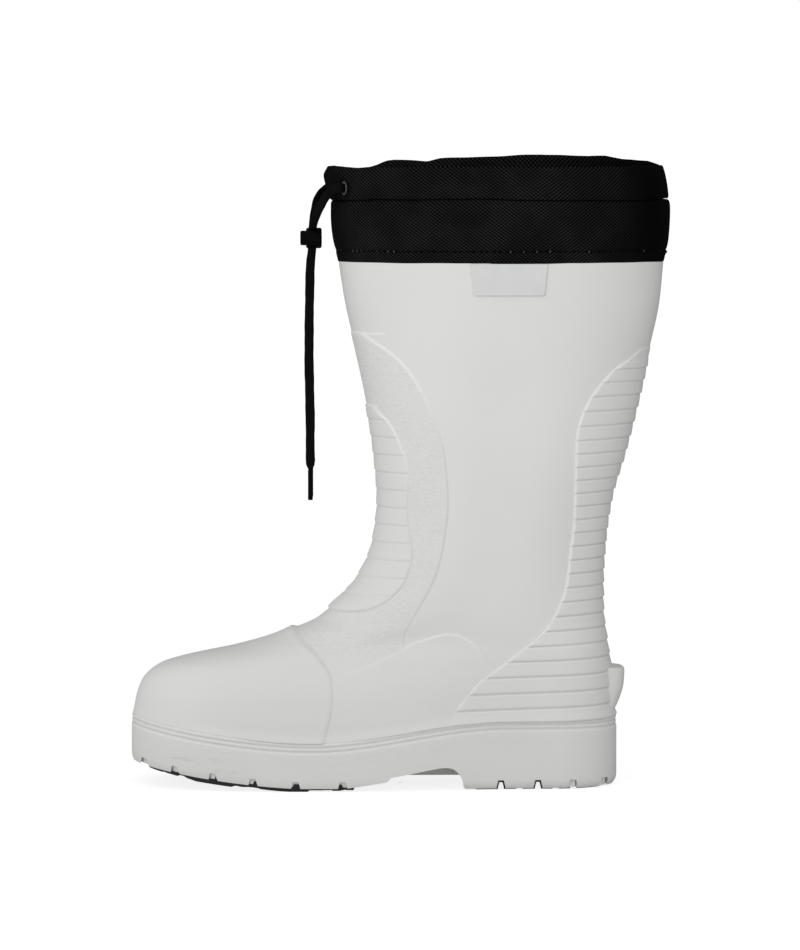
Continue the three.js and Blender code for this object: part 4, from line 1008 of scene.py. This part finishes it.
def make_upper():
    """The moulded upper as one surface, cut into three pieces that share the normals at their edges."""
    turn = ring_turns((0, 0.36, 150), (0.36, 0.47, 44), (0.47, 0.64, 84), (0.64, 1, 150), (1, 1.36, 60),
                      (1.36, 1.64, 56), (1.64, 2, 60))[None]
    back, front = upper_rows()
    back, front = back[:, None], front[:, None]
    ahead = np.where(turn <= 1, turn, 2 - turn)
    share = smooth((ahead - 0.47) / 0.2)
    near = smooth((ahead - 0.44) / 0.06)
    steps = np.arange(len(back))[:, None]
    x = surface(mix(back, front, share), turn)[..., 0]
    for _ in range(5):
        base = mix(back - BACK_RIB_TILT * clamp(x, 0, 110), front, share)
        start = base[0]
        fall = (welt_height(x) - start) * (1 - smooth((base - start) / 48)) * near
        z = np.maximum(base + fall, welt_height(x) + 0.02 * steps)
        z[0] = welt_height(x[0])
        x = surface(z, turn)[..., 0]
    flare = mix(1.25, 0.2, smooth((x - 245) / 50)) * (1 - smooth((z - welt_height(x)) / 7)) ** 1.5
    points = offset_surface(z, turn, relief(x, z) + flare)
    skirt = offset_surface(z[0] - 1.6, turn[0], np.full(turn.shape[1], -1.5))
    points = np.concatenate([skirt[None], points])
    masks = {name: np.vstack([mask[:1], mask]) for name, mask in upper_masks(x, z).items()}
    along = np.roll(points, -1, 1) - np.roll(points, 1, 1)
    up = np.gradient(points, axis=0)
    normals = unit(np.cross(up, along))
    outward = np.einsum("ijk,ijk->", normals, points - [80, 0, 0] - [0, 0, 1] * points)
    normals = normals if outward > 0 else -normals
    normals[0] = normals[1]
    for name, first, last in UPPER_PIECES:
        columns = np.flatnonzero((turn[0] >= first - 1e-9) & (turn[0] <= last + 1e-9))
        if last == 2:
            columns = np.append(columns, 0)
        part = points[:, columns]
        faces = facing(part, quads(*part.shape[:2]), (80, 0, 150))
        own = {mask: values[:, columns] for mask, values in masks.items()}
        piece = mesh_object(name, part, [faces], FOAM_WITH_PAINTED_EDGES, masks=own, normals=normals[:, columns])
        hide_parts("upper_and_sole")


def sole_edge(x):
    """Height of the foam's lower edge: the rim, the arch and the rim's notches."""
    rim = rim_line(x)
    arch = np.interp(x, [p[0] for p in ARCH_PROFILE], [p[1] for p in ARCH_PROFILE], left=0, right=0)
    edge = np.maximum(rim, arch)
    wide, narrow = NOTCH_HALVES
    for n in NOTCHES:
        rise = clamp((wide - np.abs(x - n)) / (wide - narrow), 0, 1)
        edge = np.maximum(edge, mix(rim, spring_line(x) + NOTCH_HEIGHT, rise))
    return edge


NOTCH_DEPTH = 1.7


def lower_round(up, x):
    """How far the sole's side is drawn in at a height above its rim."""
    return mix(2.2, 0.9, smooth((x - 96) / 60)) * (1 - clamp(up / 5, 0, 1)) ** 2


def pocket_lip(x):
    """Height of the foam wall that closes a rim notch from behind: the two notches in the heel's front stay open."""
    return np.where(x > 164, 2.6, np.where(x < 40, 1.2, 99))


def sole_under(x, y):
    """Height of the foam's underside inside its rim: the pads' recesses, and the arch with its bridge."""
    edge = sole_edge(x)
    pads = ((x > 10.7) & (x < 89.3)) | ((x > 163.7) & (x < 292.3))
    bridge = np.where(np.abs(y) < BRIDGE_WIDTH / 2, np.minimum(edge, BRIDGE_BOTTOM), edge)
    edge = np.where((x > 96) & (x < 164), bridge, edge)
    return np.where(pads, spring_line(x) + RECESS_TOP, edge)


def make_sole():
    wide, narrow = NOTCH_HALVES
    steps = (-wide - 0.3, -wide, -2.3, -narrow, -0.8, 0.8, narrow, 2.3, wide, wide + 0.3)
    places = [n + d for n in NOTCHES for d in steps]
    places += [p[0] for p in ARCH_PROFILE] + [10.5, 10.9, 89.1, 89.5, 163.5, 163.9, 292.1, 292.5, 95.8, 96.6]
    outline = sole_section(0.0)
    wanted = np.unique(np.round(station_of(outline, np.array(sorted(places), float)), 5))
    even = np.linspace(0, 1, 221)
    even = even[np.min(np.abs(even[:, None] - wanted[None]), axis=1) > 0.0016]
    t = np.sort(np.concatenate([wanted, even]))
    x0 = side_point(outline, t)[0]
    top = welt_height(x0)
    rows, masks = [], []

    def add(inset, z, mask=0.0):
        x, y = side_point(sole_section(inset), t)
        rows.append(np.stack([x, y, np.broadcast_to(z, x.shape)], -1))
        masks.append(np.broadcast_to(mask, x.shape))

    add(3.0 + 0 * t, top - 0.3)
    for drop, inset in RAND_PROFILE:
        add(inset + 0 * t, top - drop)
    rim = rim_line(x0)
    edge = sole_edge(x0)
    high = top - RAND_PROFILE[-1][0]
    for share in (0.93, 0.86, 0.79, 0.72, 0.65, 0.58, 0.5, 0.42, 0.34, 0.27, 0.2, 0.14, 0.09, 0.05, 0.02, 0):
        z = mix(edge, high, share)
        inset = lower_round(z - rim, x0)
        drop = top - z
        add(inset, z, smooth((drop - 6.4) / 0.5) * (1 - smooth((drop - 13.2) / 1.6)))
    inset_low = lower_round(edge - rim, x0)
    for depth, lip in ((0.12, False), (NOTCH_DEPTH, False), (NOTCH_DEPTH + 0.2, True), (99, True)):
        inset = np.minimum(inset_low + depth, 5.15)
        x = side_point(sole_section(inset), t)[0]
        add(inset, np.minimum(sole_edge(x), spring_line(x) + pocket_lip(x)) if lip else sole_edge(x))
    x, y = side_point(sole_section(5.35 + 0 * t), t)
    half = BRIDGE_WIDTH / 2
    for width in (999, half + 12, half + 0.2, half - 0.2, 10, 0):
        inner = np.minimum(y, width)
        rows.append(np.stack([x, inner, sole_under(x, inner)], -1))
        masks.append(0 * x)
    one = np.stack(rows)
    shift = swing(one[..., 0], 0 * one[..., 0])
    outer, inner = one.copy(), one.copy()
    outer[..., 1] = one[..., 1] + shift
    inner[..., 1] = -one[..., 1] + shift
    points = np.concatenate([outer, inner[:, ::-1]], axis=1)
    mask = np.stack(masks)
    mask = np.concatenate([mask, mask[:, ::-1]], axis=1)
    drop = welt_height(points[..., 0]) - points[..., 2]
    faces = facing(points, quads(len(points), points.shape[1], wrap=True), (140, 0, 18))
    # drop places the painted highlight and painted shade lines along the rand.
    masks = {"hatch": mask, "grain": 0 * mask, "drop": drop}
    piece = mesh_object("shell_sole", points, [faces], FOAM, masks=masks)
    bm = bmesh.new()
    bm.from_mesh(piece.data)
    bmesh.ops.remove_doubles(bm, verts=bm.verts, dist=0.000004)
    bm.to_mesh(piece.data)
    bm.free()
    piece.data.set_sharp_from_angle(angle=math.radians(38))
    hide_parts("upper_and_sole")
    return piece


SPUR_PROFILE = (  # height and X of the spur's outline in the boot's middle plane
    (73.75, 7), (73.6, 2), (73.5, 0), (73.4, -2.5), (73.1, -3.8), (72.4, -4.6), (71.3, -4.95),
    (69, -4.9), (66, -4.75), (63, -4.5), (60.5, -4.1), (58.5, -3.6), (55.5, -2.6), (52.5, -1.5),
    (50, -0.5), (47.8, 0.7), (46.5, 1.6), (46, 3), (45.7, 7),
)
SPUR_HALF = 18.5


def make_spur():
    run = np.concatenate([[0], np.cumsum(np.hypot(*np.diff(np.array(SPUR_PROFILE), axis=0).T))])
    fine = np.unique(np.concatenate([run, np.linspace(0, run[-1], 60)]))
    z = np.interp(fine, run, [p[0] for p in SPUR_PROFILE])[:, None]
    reach = np.interp(fine, run, [p[1] for p in SPUR_PROFILE])[:, None]
    share = np.sin(np.linspace(-1, 1, 61) * math.pi / 2)[None]
    y = share * SPUR_HALF
    form = (1 - np.abs(share) ** 5) ** (1 / 2.2)
    s = section_at(z)
    a = np.arcsin(clamp(np.abs(y) / s["rear_half"], 0, 1) ** (s["rear_power"] / 2))
    shell = s["rear_centre"] - (s["rear_centre"] - s["back"]) * np.cos(a) ** (2 / s["rear_power"])
    depth = s["back"] - reach
    x = shell - (depth + 2.0) * form + 2.0
    points = np.stack([x, y + swing(x, z), np.broadcast_to(z, x.shape)], -1)
    faces = facing(points, quads(*points.shape[:2]), (30, 0, 60))
    piece = mesh_object("heel_spur", points, [faces], FOAM_PLAIN)
    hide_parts("upper_and_sole")
    return piece


def footbed_rows(edges):
    """Rows over the footbed, each an inset from the wall and a rise, closed towards the boot's middle line."""
    turn = ring_turns((0, 2, 160))
    rows = []
    for inset, rise in edges:
        row = offset_surface(np.full(160, LEVELS[0] * INSTEP_HEIGHT), turn, np.full(160, -WALL - inset))
        row[:, 2] = footbed_height(row[:, 0]) + rise
        rows.append(row)
    last = rows[-1]
    for share in (0.66, 0.33, 0.02):
        row = last.copy()
        row[:, 1] = mix(swing(last[:, 0], 0 * last[:, 0]), last[:, 1], share)
        rows.append(row)
    return rows


def make_inside():
    turn = ring_turns((0, 2, 160))
    collar = (
        (HEM + 0.9, 0.1), (HEM + 0.6, -REBATE), (SHELL_HEIGHT - 0.7, -REBATE), (SHELL_HEIGHT - 0.2, -REBATE - 0.25),
        (SHELL_HEIGHT, -REBATE - 0.7), (SHELL_HEIGHT, -WALL + 0.7), (SHELL_HEIGHT - 0.2, -WALL + 0.25),
        (SHELL_HEIGHT - 0.7, -WALL),
    )
    leg = [(z, -WALL) for z in np.linspace(SHELL_HEIGHT - 6, INSTEP_HEIGHT, 30)]
    rows = [offset_surface(np.full(160, z), turn, np.full(160, d)) for z, d in (*collar, *leg)]
    floor = LEVELS[0] * INSTEP_HEIGHT
    ahead = np.where(turn <= 1, turn, 2 - turn)
    for i in range(23, -1, -1):
        low = i / 24
        share = mix(low, 1 - (1 - low) ** 1.4, smooth((ahead - 0.3) / 0.4))
        rows.append(offset_surface(mix(floor + 4, INSTEP_HEIGHT, share), turn, np.full(160, -WALL)))
    points = np.stack(rows + footbed_rows(((0.5, 3.0), (1.2, 1.2), (3.0, 0.0))))
    faces = quads(len(points), 160, wrap=True)
    piece = mesh_object("shell_inside", points, [faces], FOAM_PLAIN)
    right_way_in(piece, (70, 0, 200))
    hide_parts("upper_and_sole")
    return piece


def right_way_in(piece, centre):
    """Turns the faces of a hollow's skin towards its middle."""
    mesh = piece.data
    middle = metres(np.asarray(centre, float))
    seen = [p for p in mesh.polygons if p.center.z > 0.1]
    outward = sum(p.normal.dot(p.center - Vector(middle)) * p.area for p in seen)
    if outward > 0:
        mesh.flip_normals()


def make_insole():
    points = np.stack(footbed_rows((
        (12, 0.3), (4.6, 0.3), (4.25, 0.7), (4.2, 2.2), (4.3, 3.6), (4.7, 4.15), (5.6, 4.3), (12, 4.3),
    )))
    piece = mesh_object("insole_sheet", points, [quads(len(points), 160, wrap=True)], FELT)
    right_way_out(piece)
    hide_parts("insole")
    return piece


def pad_groove(x, stations):
    """How far the grooves across a pad rise at a place."""
    wide, narrow = PAD_NOTCH_HALVES
    rise = 0 * x
    for n in stations:
        rise = np.maximum(rise, clamp((wide - np.abs(x - n)) / (wide - narrow), 0, 1))
    return rise


def make_pad(name, low, high, node):
    wide, narrow = PAD_NOTCH_HALVES
    inside = [n for n in NOTCHES if low + 5 < n < high - 5]
    between = [(a + b) / 2 for a, b in zip(inside, inside[1:])]
    deep = [n for n in NOTCHES if low - 3 < n < high + 3]
    steps = (-wide - 0.2, -wide, -narrow, 0, narrow, wide, wide + 0.2)
    places = [n + d for n in deep + between for d in steps if low < n + d < high]
    places += [low + 0.02, low + 0.6, high - 0.6, high - 0.02]
    x = np.unique(np.round(np.concatenate([np.linspace(low, high, 90), places]), 3))
    s = sole_section(PAD_MARGIN)
    half = side_point(s, station_of(s, x))[1]
    ends = np.minimum(x - low, high - x)
    fore = high > 100
    groove = spring_line(x) + np.maximum(PAD_NOTCH_HEIGHT * pad_groove(x, deep), 3.0 * pad_groove(x, between))
    margin = 1.3 if fore else PAD_MARGIN
    wide_half = side_point(sole_section(margin), station_of(sole_section(margin), x))[1]
    lugs = [smooth((width + 0.4 - np.abs(x - n)) / 0.8) for n, width in TREAD_LUGS]
    ledge = mix(2.3, 4.6, np.max(lugs, axis=0)) if fore else 0 * x + 5.7
    edge_low = FORE_RIM - np.interp(x, *np.transpose(TREAD_EDGE))
    edge_low = np.maximum(edge_low, -spring_line(x)) if fore else 0 * x
    columns = []
    section = (
        (0, 5.7), (1, 5.7), (1, ledge), ("rim", ledge), ("rim", edge_low + 0.3), ("rim in", edge_low),
        (0.96, edge_low), (0.9, 0), (0.7, 0), ("out", 0), ("in", 2.4), ("in2", 2.4), ("out2", 0), (0.15, 0), (0, 0),
    )
    for across, rise in section:
        if across in ("rim", "rim in"):
            y = np.maximum(wide_half - (0.35 if across == "rim in" else 0), half)
        elif isinstance(across, str):
            place = {"out": 19.0, "in": 18.3, "in2": 15.7, "out2": 15.0}[across]
            y = np.minimum(place, half * 0.65)
            rise = np.where(half > 26, rise, 0)
        else:
            y = half * across
        z = spring_line(x) + rise
        if len(columns) < 4:
            columns.append(np.stack([x, y, z], -1))
            continue
        bevel = 0.7 * (1 - clamp(ends / 0.6, 0, 1)) ** 2
        at_edge = fore and len(columns) < 7
        columns.append(np.stack([x, y, np.maximum(z + bevel, 0 if at_edge else groove)], -1))
    side = np.stack(columns, 1)
    outer, inner = side.copy(), side[:, ::-1].copy()
    inner[..., 1] *= -1
    ring = np.concatenate([outer, inner[:, 1:-1]], axis=1)
    ring[..., 1] += swing(ring[..., 0], 0 * ring[..., 0])
    first, last = ring[:1].copy(), ring[-1:].copy()
    first[..., 2] = spring_line(first[..., 0]) + 5.7
    last[..., 2] = spring_line(last[..., 0]) + 5.7
    points = np.concatenate([first, ring, last])
    faces = quads(len(points), points.shape[1], wrap=True)
    piece = mesh_object(name, points, [faces], RUBBER, sharp=35)
    right_way_out(piece)
    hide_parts(node)
    return piece


# Cuff
CUFF_COLUMNS = 480
CUFF_TURNS = ring_turns((0, 2, CUFF_COLUMNS))
RIM_OUTER = (
    (-33, 385.4), (-30, 385.9), (-24, 386.2), (-10, 385.7), (20, 385.3), (60, 385.4), (100, 385.7),
    (130, 385.4), (150, 385.0), (162, 384.8), (170, 385.0), (176, 386.0), (181, 385.6),
)
RIM_INNER = (
    (-33, 385.4), (-31, 385.9), (-28, 387.4), (-22.6, 388.9), (-14, 389.5), (-7, 390.1), (-2, 391.2),
    (4, 392.3), (15, 391.8), (34, 392.7), (46.7, 393.0), (72, 391.9), (97, 391), (110, 390.5),
    (117.8, 388.8), (126, 389.3), (139, 389.6), (142.8, 389.1), (146, 387.9), (149.7, 386.3),
    (154, 385.1), (162, 384.8), (170, 385.0), (176, 386.0), (181, 385.6),
)


def cuff_run(z):
    """Distance round the cuff at each of its columns, and once round, in millimetres."""
    ring = surface(np.full(CUFF_COLUMNS, z), CUFF_TURNS)
    steps = np.linalg.norm(np.roll(ring, -1, 0) - ring, axis=1)
    return np.concatenate([[0], np.cumsum(steps)[:-1]]), steps.sum()


CUFF_RUN, CUFF_ROUND = cuff_run(346.0)


def rim_height(turn):
    x = surface(np.full(np.shape(turn), 385.0), turn)[..., 0]
    outer = np.interp(x, [p[0] for p in RIM_OUTER], [p[1] for p in RIM_OUTER])
    inner = np.interp(x, [p[0] for p in RIM_INNER], [p[1] for p in RIM_INNER])
    return np.where(np.mod(turn, 2) <= 1, outer, inner)


def waves(run, *parts):
    """A sum of sine waves round the cuff, each of (times round, height, phase)."""
    total = 0 * run
    for times, height, phase in parts:
        total = total + height * np.sin(2 * math.pi * times * run / CUFF_ROUND + phase)
    return total


def closed_uv(run, v):
    """Cloth coordinates of a closed ring whose last column is repeated."""
    return np.stack(np.broadcast_arrays(run, v), -1)


def cuff_object(name, points, v, material):
    """A closed ring of rows with one seam in its cloth coordinates."""
    rows = len(points)
    points = np.concatenate([points, points[:, :1]], axis=1)
    run = np.concatenate([CUFF_RUN, [CUFF_ROUND]])[None]
    uv = closed_uv(run, v[:, None])
    faces = quads(rows, CUFF_COLUMNS + 1, close=True)
    piece = mesh_object(name, points, [faces], material, uv=uv)
    bm = bmesh.new()
    bm.from_mesh(piece.data)
    bmesh.ops.remove_doubles(bm, verts=bm.verts, dist=0.000002)
    bmesh.ops.recalc_face_normals(bm, faces=bm.faces)
    bm.to_mesh(piece.data)
    bm.free()
    piece.data.update()
    return piece


BAND_PROFILE = (  # height over the hem, and how far the band stands out
    (0.9, -1.2), (0.25, -1.15), (0.02, -0.8), (0.0, -0.35), (0.08, 0.0), (0.3, 0.2), (0.8, 0.32), (1.6, 0.4),
    (2.6, 0.5), (3.8, 0.62), (5, 0.7), (6, 0.66), (6.7, 0.5), (7.2, 0.42), (7.7, 0.55), (8.5, 0.85),
    (10, 1.15), (12, 1.4), (14.5, 1.6), (17, 1.72), (20, 1.8), (23, 1.86), (26, 1.9), (29, 1.9), (31.5, 1.86),
    (33.5, 1.78), (35, 1.66), (36.2, 1.45), (37.1, 1.15), (37.8, 0.75), (38.2, 0.3), (38.4, -0.2), (38.45, -0.7),
)


def make_band():
    rows, v = [], []
    run = CUFF_RUN
    for height, out in BAND_PROFILE:
        middle = smooth(height / 14) * smooth((38.5 - height) / 6)
        swell = waves(run, (3, 0.3, 0.4), (7, 0.18, 2.1), (11, 0.14, 4.0)) * middle
        swell = swell + waves(run, (19, 0.1, 1.0), (27, 0.09, 3.3), (41, 0.06, 5.2)) * (
            bell(height - 33, 5) + 0.7 * bell(height - 11, 4))
        scallop = 0.16 * np.abs(np.sin(math.pi * run / 4.6)) * bell(height - 37.2, 2.4)
        dimple = 0.14 * np.cos(2 * math.pi * run / 3.9) * bell(height - 7.2, 1.2)
        front_in = -1.0 * bell(CUFF_TURNS - 1, 0.14) * bell(height - 36, 11)
        hem_wave = waves(run, (2, 0.12, 0.7), (9, 0.07, 2.9), (15, 0.06, 1.7)) * bell(height, 9)
        seam_wave = waves(run, (3, 0.5, 2.2), (8, 0.22, 0.3), (17, 0.1, 4.4)) * bell(height - 38.5, 9)
        z = HEM + height + hem_wave + seam_wave
        nub = 1.5 * bell(np.minimum(run, CUFF_ROUND - run) - 1.0, 0.9) * bell(height - 6.0, 0.9)
        rows.append(offset_surface(z, CUFF_TURNS, out + swell + scallop + dimple + nub + front_in))
        v.append(HEM + height)
    for height, inset in ((38.5, 2.7), (41.5, 2.8), (41.5, 3.3), (37, 3.1), (25, 1.22), (12, 1.22), (1.2, 1.22)):
        lift = seam_wave if height > 37 else 0 * run
        rows.append(offset_surface(HEM + height + lift, CUFF_TURNS, 0 * run - inset))
        v.append(HEM - 4 - (38.5 - height))
    piece = cuff_object("cuff_fabric_band", np.stack(rows), np.array(v), FABRIC)
    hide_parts("cuff_band")
    return piece


def eyelet_folds(turn, height, outer=True):
    """Creases that radiate from the two eyelets, where the drawcord pulls at the casing."""
    total = 0.0
    lean = 0.0
    for side in (1, -1):
        station = EYELET_STATION if side > 0 else 2 - EYELET_STATION
        place = surface(np.array(373.0), np.array(station))
        here = surface(np.full(np.shape(turn), 373.0), turn)
        away = np.linalg.norm(here - place, axis=-1) * np.where(turn < station, -1, 1) * side
        up = height - (SEAM + GAP + CASING_HEIGHT - EYELET_DROP)
        r = np.hypot(away, up)
        a = np.arctan2(up, away)
        total = total + 0.55 * np.cos(6 * a + 0.8) * smooth((r - 2.5) / 4) * bell(r - 7, 8)
        lean = lean - 0.9 * bell(r, 5.5)
    return total + lean


CASING_PROFILE = (  # share of the height, and place across the thickness
    (0, 0.1), (0.012, 0.38), (0.04, 0.6), (0.09, 0.77), (0.16, 0.88), (0.24, 0.94), (0.33, 0.98), (0.42, 1),
    (0.51, 1), (0.6, 0.97), (0.69, 0.92), (0.77, 0.86), (0.84, 0.78), (0.9, 0.68), (0.95, 0.54), (0.985, 0.34),
    (1, 0.08), (1, -0.2), (0.985, -0.45), (0.94, -0.65), (0.84, -0.78), (0.7, -0.8), (0.5, -0.8), (0.3, -0.8),
    (0.12, -0.75), (0.03, -0.55), (0, -0.2),
)


def make_casing():
    turn, run = CUFF_TURNS, CUFF_RUN
    rim = rim_height(turn)
    flat = flat_normal(np.full(CUFF_COLUMNS, SEAM), turn)
    front = bell(turn - 1, 0.13)
    rows, v = [], []
    for share, out in CASING_PROFILE:
        seam_wave = waves(run, (3, 0.5, 2.2), (8, 0.22, 0.3), (17, 0.1, 4.4)) * (1 - share) ** 2
        low = SEAM + GAP + seam_wave
        fine = waves(run, (13, 0.14, 0.9), (23, 0.1, 2.2)) * share ** 3
        z = mix(low, rim + fine, share)
        thick = CASING_THICKNESS / 2 * out
        lean = casing_lean(turn, share)
        gather = waves(run, (23, 0.22, 0.3), (37, 0.2, 1.9), (53, 0.12, 3.1))
        gather = gather * (0.25 + share ** 2) * (0.6 + 1.2 * front)
        gather = gather * np.where(out >= 0, 1, 0.8)
        folds = eyelet_folds(turn, z) * smooth(share / 0.12)
        scallop = 0.16 * np.abs(np.sin(math.pi * run / 4.6)) * bell(share - 0.04, 0.09)
        tuck = -2.4 * bell(turn - 1, 0.12) * smooth((share - 0.72) / 0.28)
        push = lean + thick + gather + folds * (1 if out >= 0 else 0.7) + scallop + tuck
        point = surface(z, turn) + flat * push[:, None]
        rows.append(point)
        v.append(SEAM + GAP + 20 * share if out >= 0 else SEAM + 42 - 20 * share)
    piece = cuff_object("cuff_gathered_casing", np.stack(rows), np.array(v), FABRIC)
    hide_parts("drawcord_casing")
    return piece


EYELET_TURN = 0.75  # the rings are pulled round towards the front by the drawcord


def make_eyelet(name, side):
    point, normal = eyelet_frame(side)
    normal = unit(normal + np.array([EYELET_TURN, 0, 0]))
    pairs = (
        (0.0, 2.8), (-0.15, 3.4), (-0.15, 4.2), (0.12, 4.5), (0.45, 4.48), (0.72, 4.2), (0.88, 3.8), (0.88, 3.4),
        (0.74, 3.05), (0.45, 2.84),
    )
    start = point + normal * EYELET_CLEAR
    piece = turned_piece(f"eyelet_ring_{name}", pairs, start, normal, 48, METAL, closed=True)
    right_way_out(piece)
    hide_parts(f"eyelet_{name}")
    return piece


LOCK_HEIGHT, LOCK_FRONT, LOCK_LENGTH = 341.0, 194.2, 9.8


def make_lock():
    back = np.array([LOCK_FRONT - LOCK_LENGTH, 0, LOCK_HEIGHT])
    barrel = turned_piece(
        "lock_barrel_body",
        ((0, 0.6), (0, 4.9), (0.12, 5.6), (0.42, 6.12), (0.95, 6.38), (1.6, 6.45), (7.9, 6.45), (8.5, 6.4),
         (9.1, 6.25), (9.55, 5.95), (9.8, 5.5), (9.8, 5.05), (9.6, 4.85), (9.1, 4.8), (3, 4.8), (3, 0.6)),
        back, (1, 0, 0), 72, PLASTIC)
    right_way_out(barrel)
    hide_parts("cord_lock_barrel")
    button = turned_piece(
        "lock_button_body",
        ((0, 0.6), (0, 4.6), (8.2, 4.6), (9.0, 4.58), (9.5, 4.45), (9.85, 4.15), (9.98, 3.7), (9.85, 3.3),
         (9.8, 0.6)),
        back + [3.4, 0, 0], (1, 0, 0), 64, PLASTIC)
    right_way_out(button)
    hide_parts("cord_lock_button")


LABEL_WIDTH = 48.0
LABEL_HEIGHT = 20.0
LABEL_CENTRE = 68.6
LABEL_TAPER = 1.8
LABEL_THICKNESS = 1.2


def make_label():
    """A blank plate under the hem, rounded at its edges, with a shallow border line."""
    top = HEM - GAP
    def shares(count, near_start, near_end):
        return np.unique(np.round(np.concatenate([np.linspace(0, 1, count), near_start, near_end]), 4))

    down = shares(45, (0.01, 0.02, 0.035, 0.05), (0.95, 0.965, 0.98, 0.99))
    across = shares(91, (0.004, 0.008, 0.014, 0.02), (0.98, 0.986, 0.992, 0.996))
    z = mix(top - LABEL_HEIGHT, top, down)[:, None]
    half = LABEL_WIDTH / 2 - LABEL_TAPER * (1 - down[:, None])
    x = mix(LABEL_CENTRE - half, LABEL_CENTRE + half, across[None])
    z = np.broadcast_to(z, x.shape)
    from_side = half - np.abs(x - LABEL_CENTRE)
    from_low = z - (top - LABEL_HEIGHT)
    from_top = top - z
    corner = 2.2
    dx, dz = np.maximum(0, corner - from_side), np.maximum(0, corner - np.minimum(from_low, from_top + 2.0))
    edge = corner - np.hypot(dx, dz)
    edge = np.where(edge < corner, edge, np.minimum(from_side, from_low))
    rise = 0.32 + (LABEL_THICKNESS - 0.05) * (1 - (1 - clamp(edge / 1.1, 0, 1)) ** 2.2)
    rise = np.where(edge <= 0.01, -0.4, rise)
    rise = rise - 0.14 * bell(edge - 2.3, 0.35)
    t = station_of(section_at(z), x)
    points = offset_surface(z, t, rise)
    faces = facing(points, quads(*points.shape[:2]), (68, 0, 316))
    piece = mesh_object("blank_label_plate", points, [faces], LABEL)
    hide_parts("side_label")
    return piece


make_upper()
make_sole()
make_spur()
make_inside()
make_insole()
make_pad("tread_pad_heel", 11.0, 89.0, "outsole_heel")
make_pad("tread_pad_forefoot", 164.0, 292.0, "outsole_forefoot")
band = make_band()
casing = make_casing()
for name, side in (("outer", 1), ("inner", -1)):
    make_eyelet(name, side)
make_lock()
make_label()

# Light: a pale room that is brightest behind the camera and to its left, over a white floor
AMBIENT = 0.585
LIGHT = (0.2, 0.465, 0.06)  # how much brighter the room is in each direction
scene = bpy.context.scene
scene.view_settings.view_transform = "Standard"
scene.view_settings.look = "None"


def make_room():
    room = bpy.data.worlds.new("studio")
    scene.world = room
    room.use_nodes = True
    tree = room.node_tree
    direction = tree.nodes.new("ShaderNodeTexCoord")
    dot = tree.nodes.new("ShaderNodeVectorMath")
    dot.operation = "DOT_PRODUCT"
    dot.inputs[1].default_value = LIGHT
    tree.links.new(direction.outputs["Generated"], dot.inputs[0])
    level = tree.nodes.new("ShaderNodeMath")
    level.operation = "ADD"
    level.inputs[1].default_value = AMBIENT
    tree.links.new(dot.outputs["Value"], level.inputs[0])
    background = tree.nodes["Background"]
    tree.links.new(level.outputs[0], background.inputs["Strength"])
    background.inputs["Color"].default_value = (1, 1, 1, 1)


def stage_material(name, diffuse, glow):
    f = Finish(name, Roughness=1.0, Specular_IOR_Level=0.0)
    f.shader.inputs["Base Color"].default_value = (diffuse, diffuse, diffuse, 1)
    f.shader.inputs["Emission Color"].default_value = (1, 1, 1, 1)
    f.shader.inputs["Emission Strength"].default_value = glow
    return f.material


def stage_surface(name, radii, heights, material, hidden):
    """A surface of revolution round the boot: a floor, or the dome behind it. Hidden rays miss it."""
    a = np.linspace(0, 2 * math.pi, 96, endpoint=False)
    points = np.stack([np.outer(radii, np.cos(a)), np.outer(radii, np.sin(a)),
                       np.outer(heights, np.ones(96))], -1)
    mesh = bpy.data.meshes.new(name)
    mesh.from_pydata(points.reshape(-1, 3).tolist(), [], quads(len(points), 96, wrap=True).tolist())
    mesh.materials.append(material)
    piece = bpy.data.objects.new(name, mesh)
    scene.collection.objects.link(piece)
    for ray in hidden:
        setattr(piece, "visible_" + ray, False)


make_room()
stage_surface("floor", np.array([0.001, 4, 7.9]), np.full(3, -0.0002),
              stage_material("pale_floor", 0.3, 0.85), ("diffuse", "glossy"))
stage_surface("bounce_card", np.array([0.001, 0.2, 0.34]), np.full(3, -0.0004),
              stage_material("grey_card", 0.74, 0.0), ("camera", "glossy", "shadow"))
rise = np.linspace(0, math.pi / 2 * 0.98, 24)
stage_surface("backdrop", 8 * np.cos(rise), 8 * np.sin(rise) - 0.3,
              stage_material("white_backdrop", 0.0, 1.05), ("diffuse", "glossy", "shadow"))
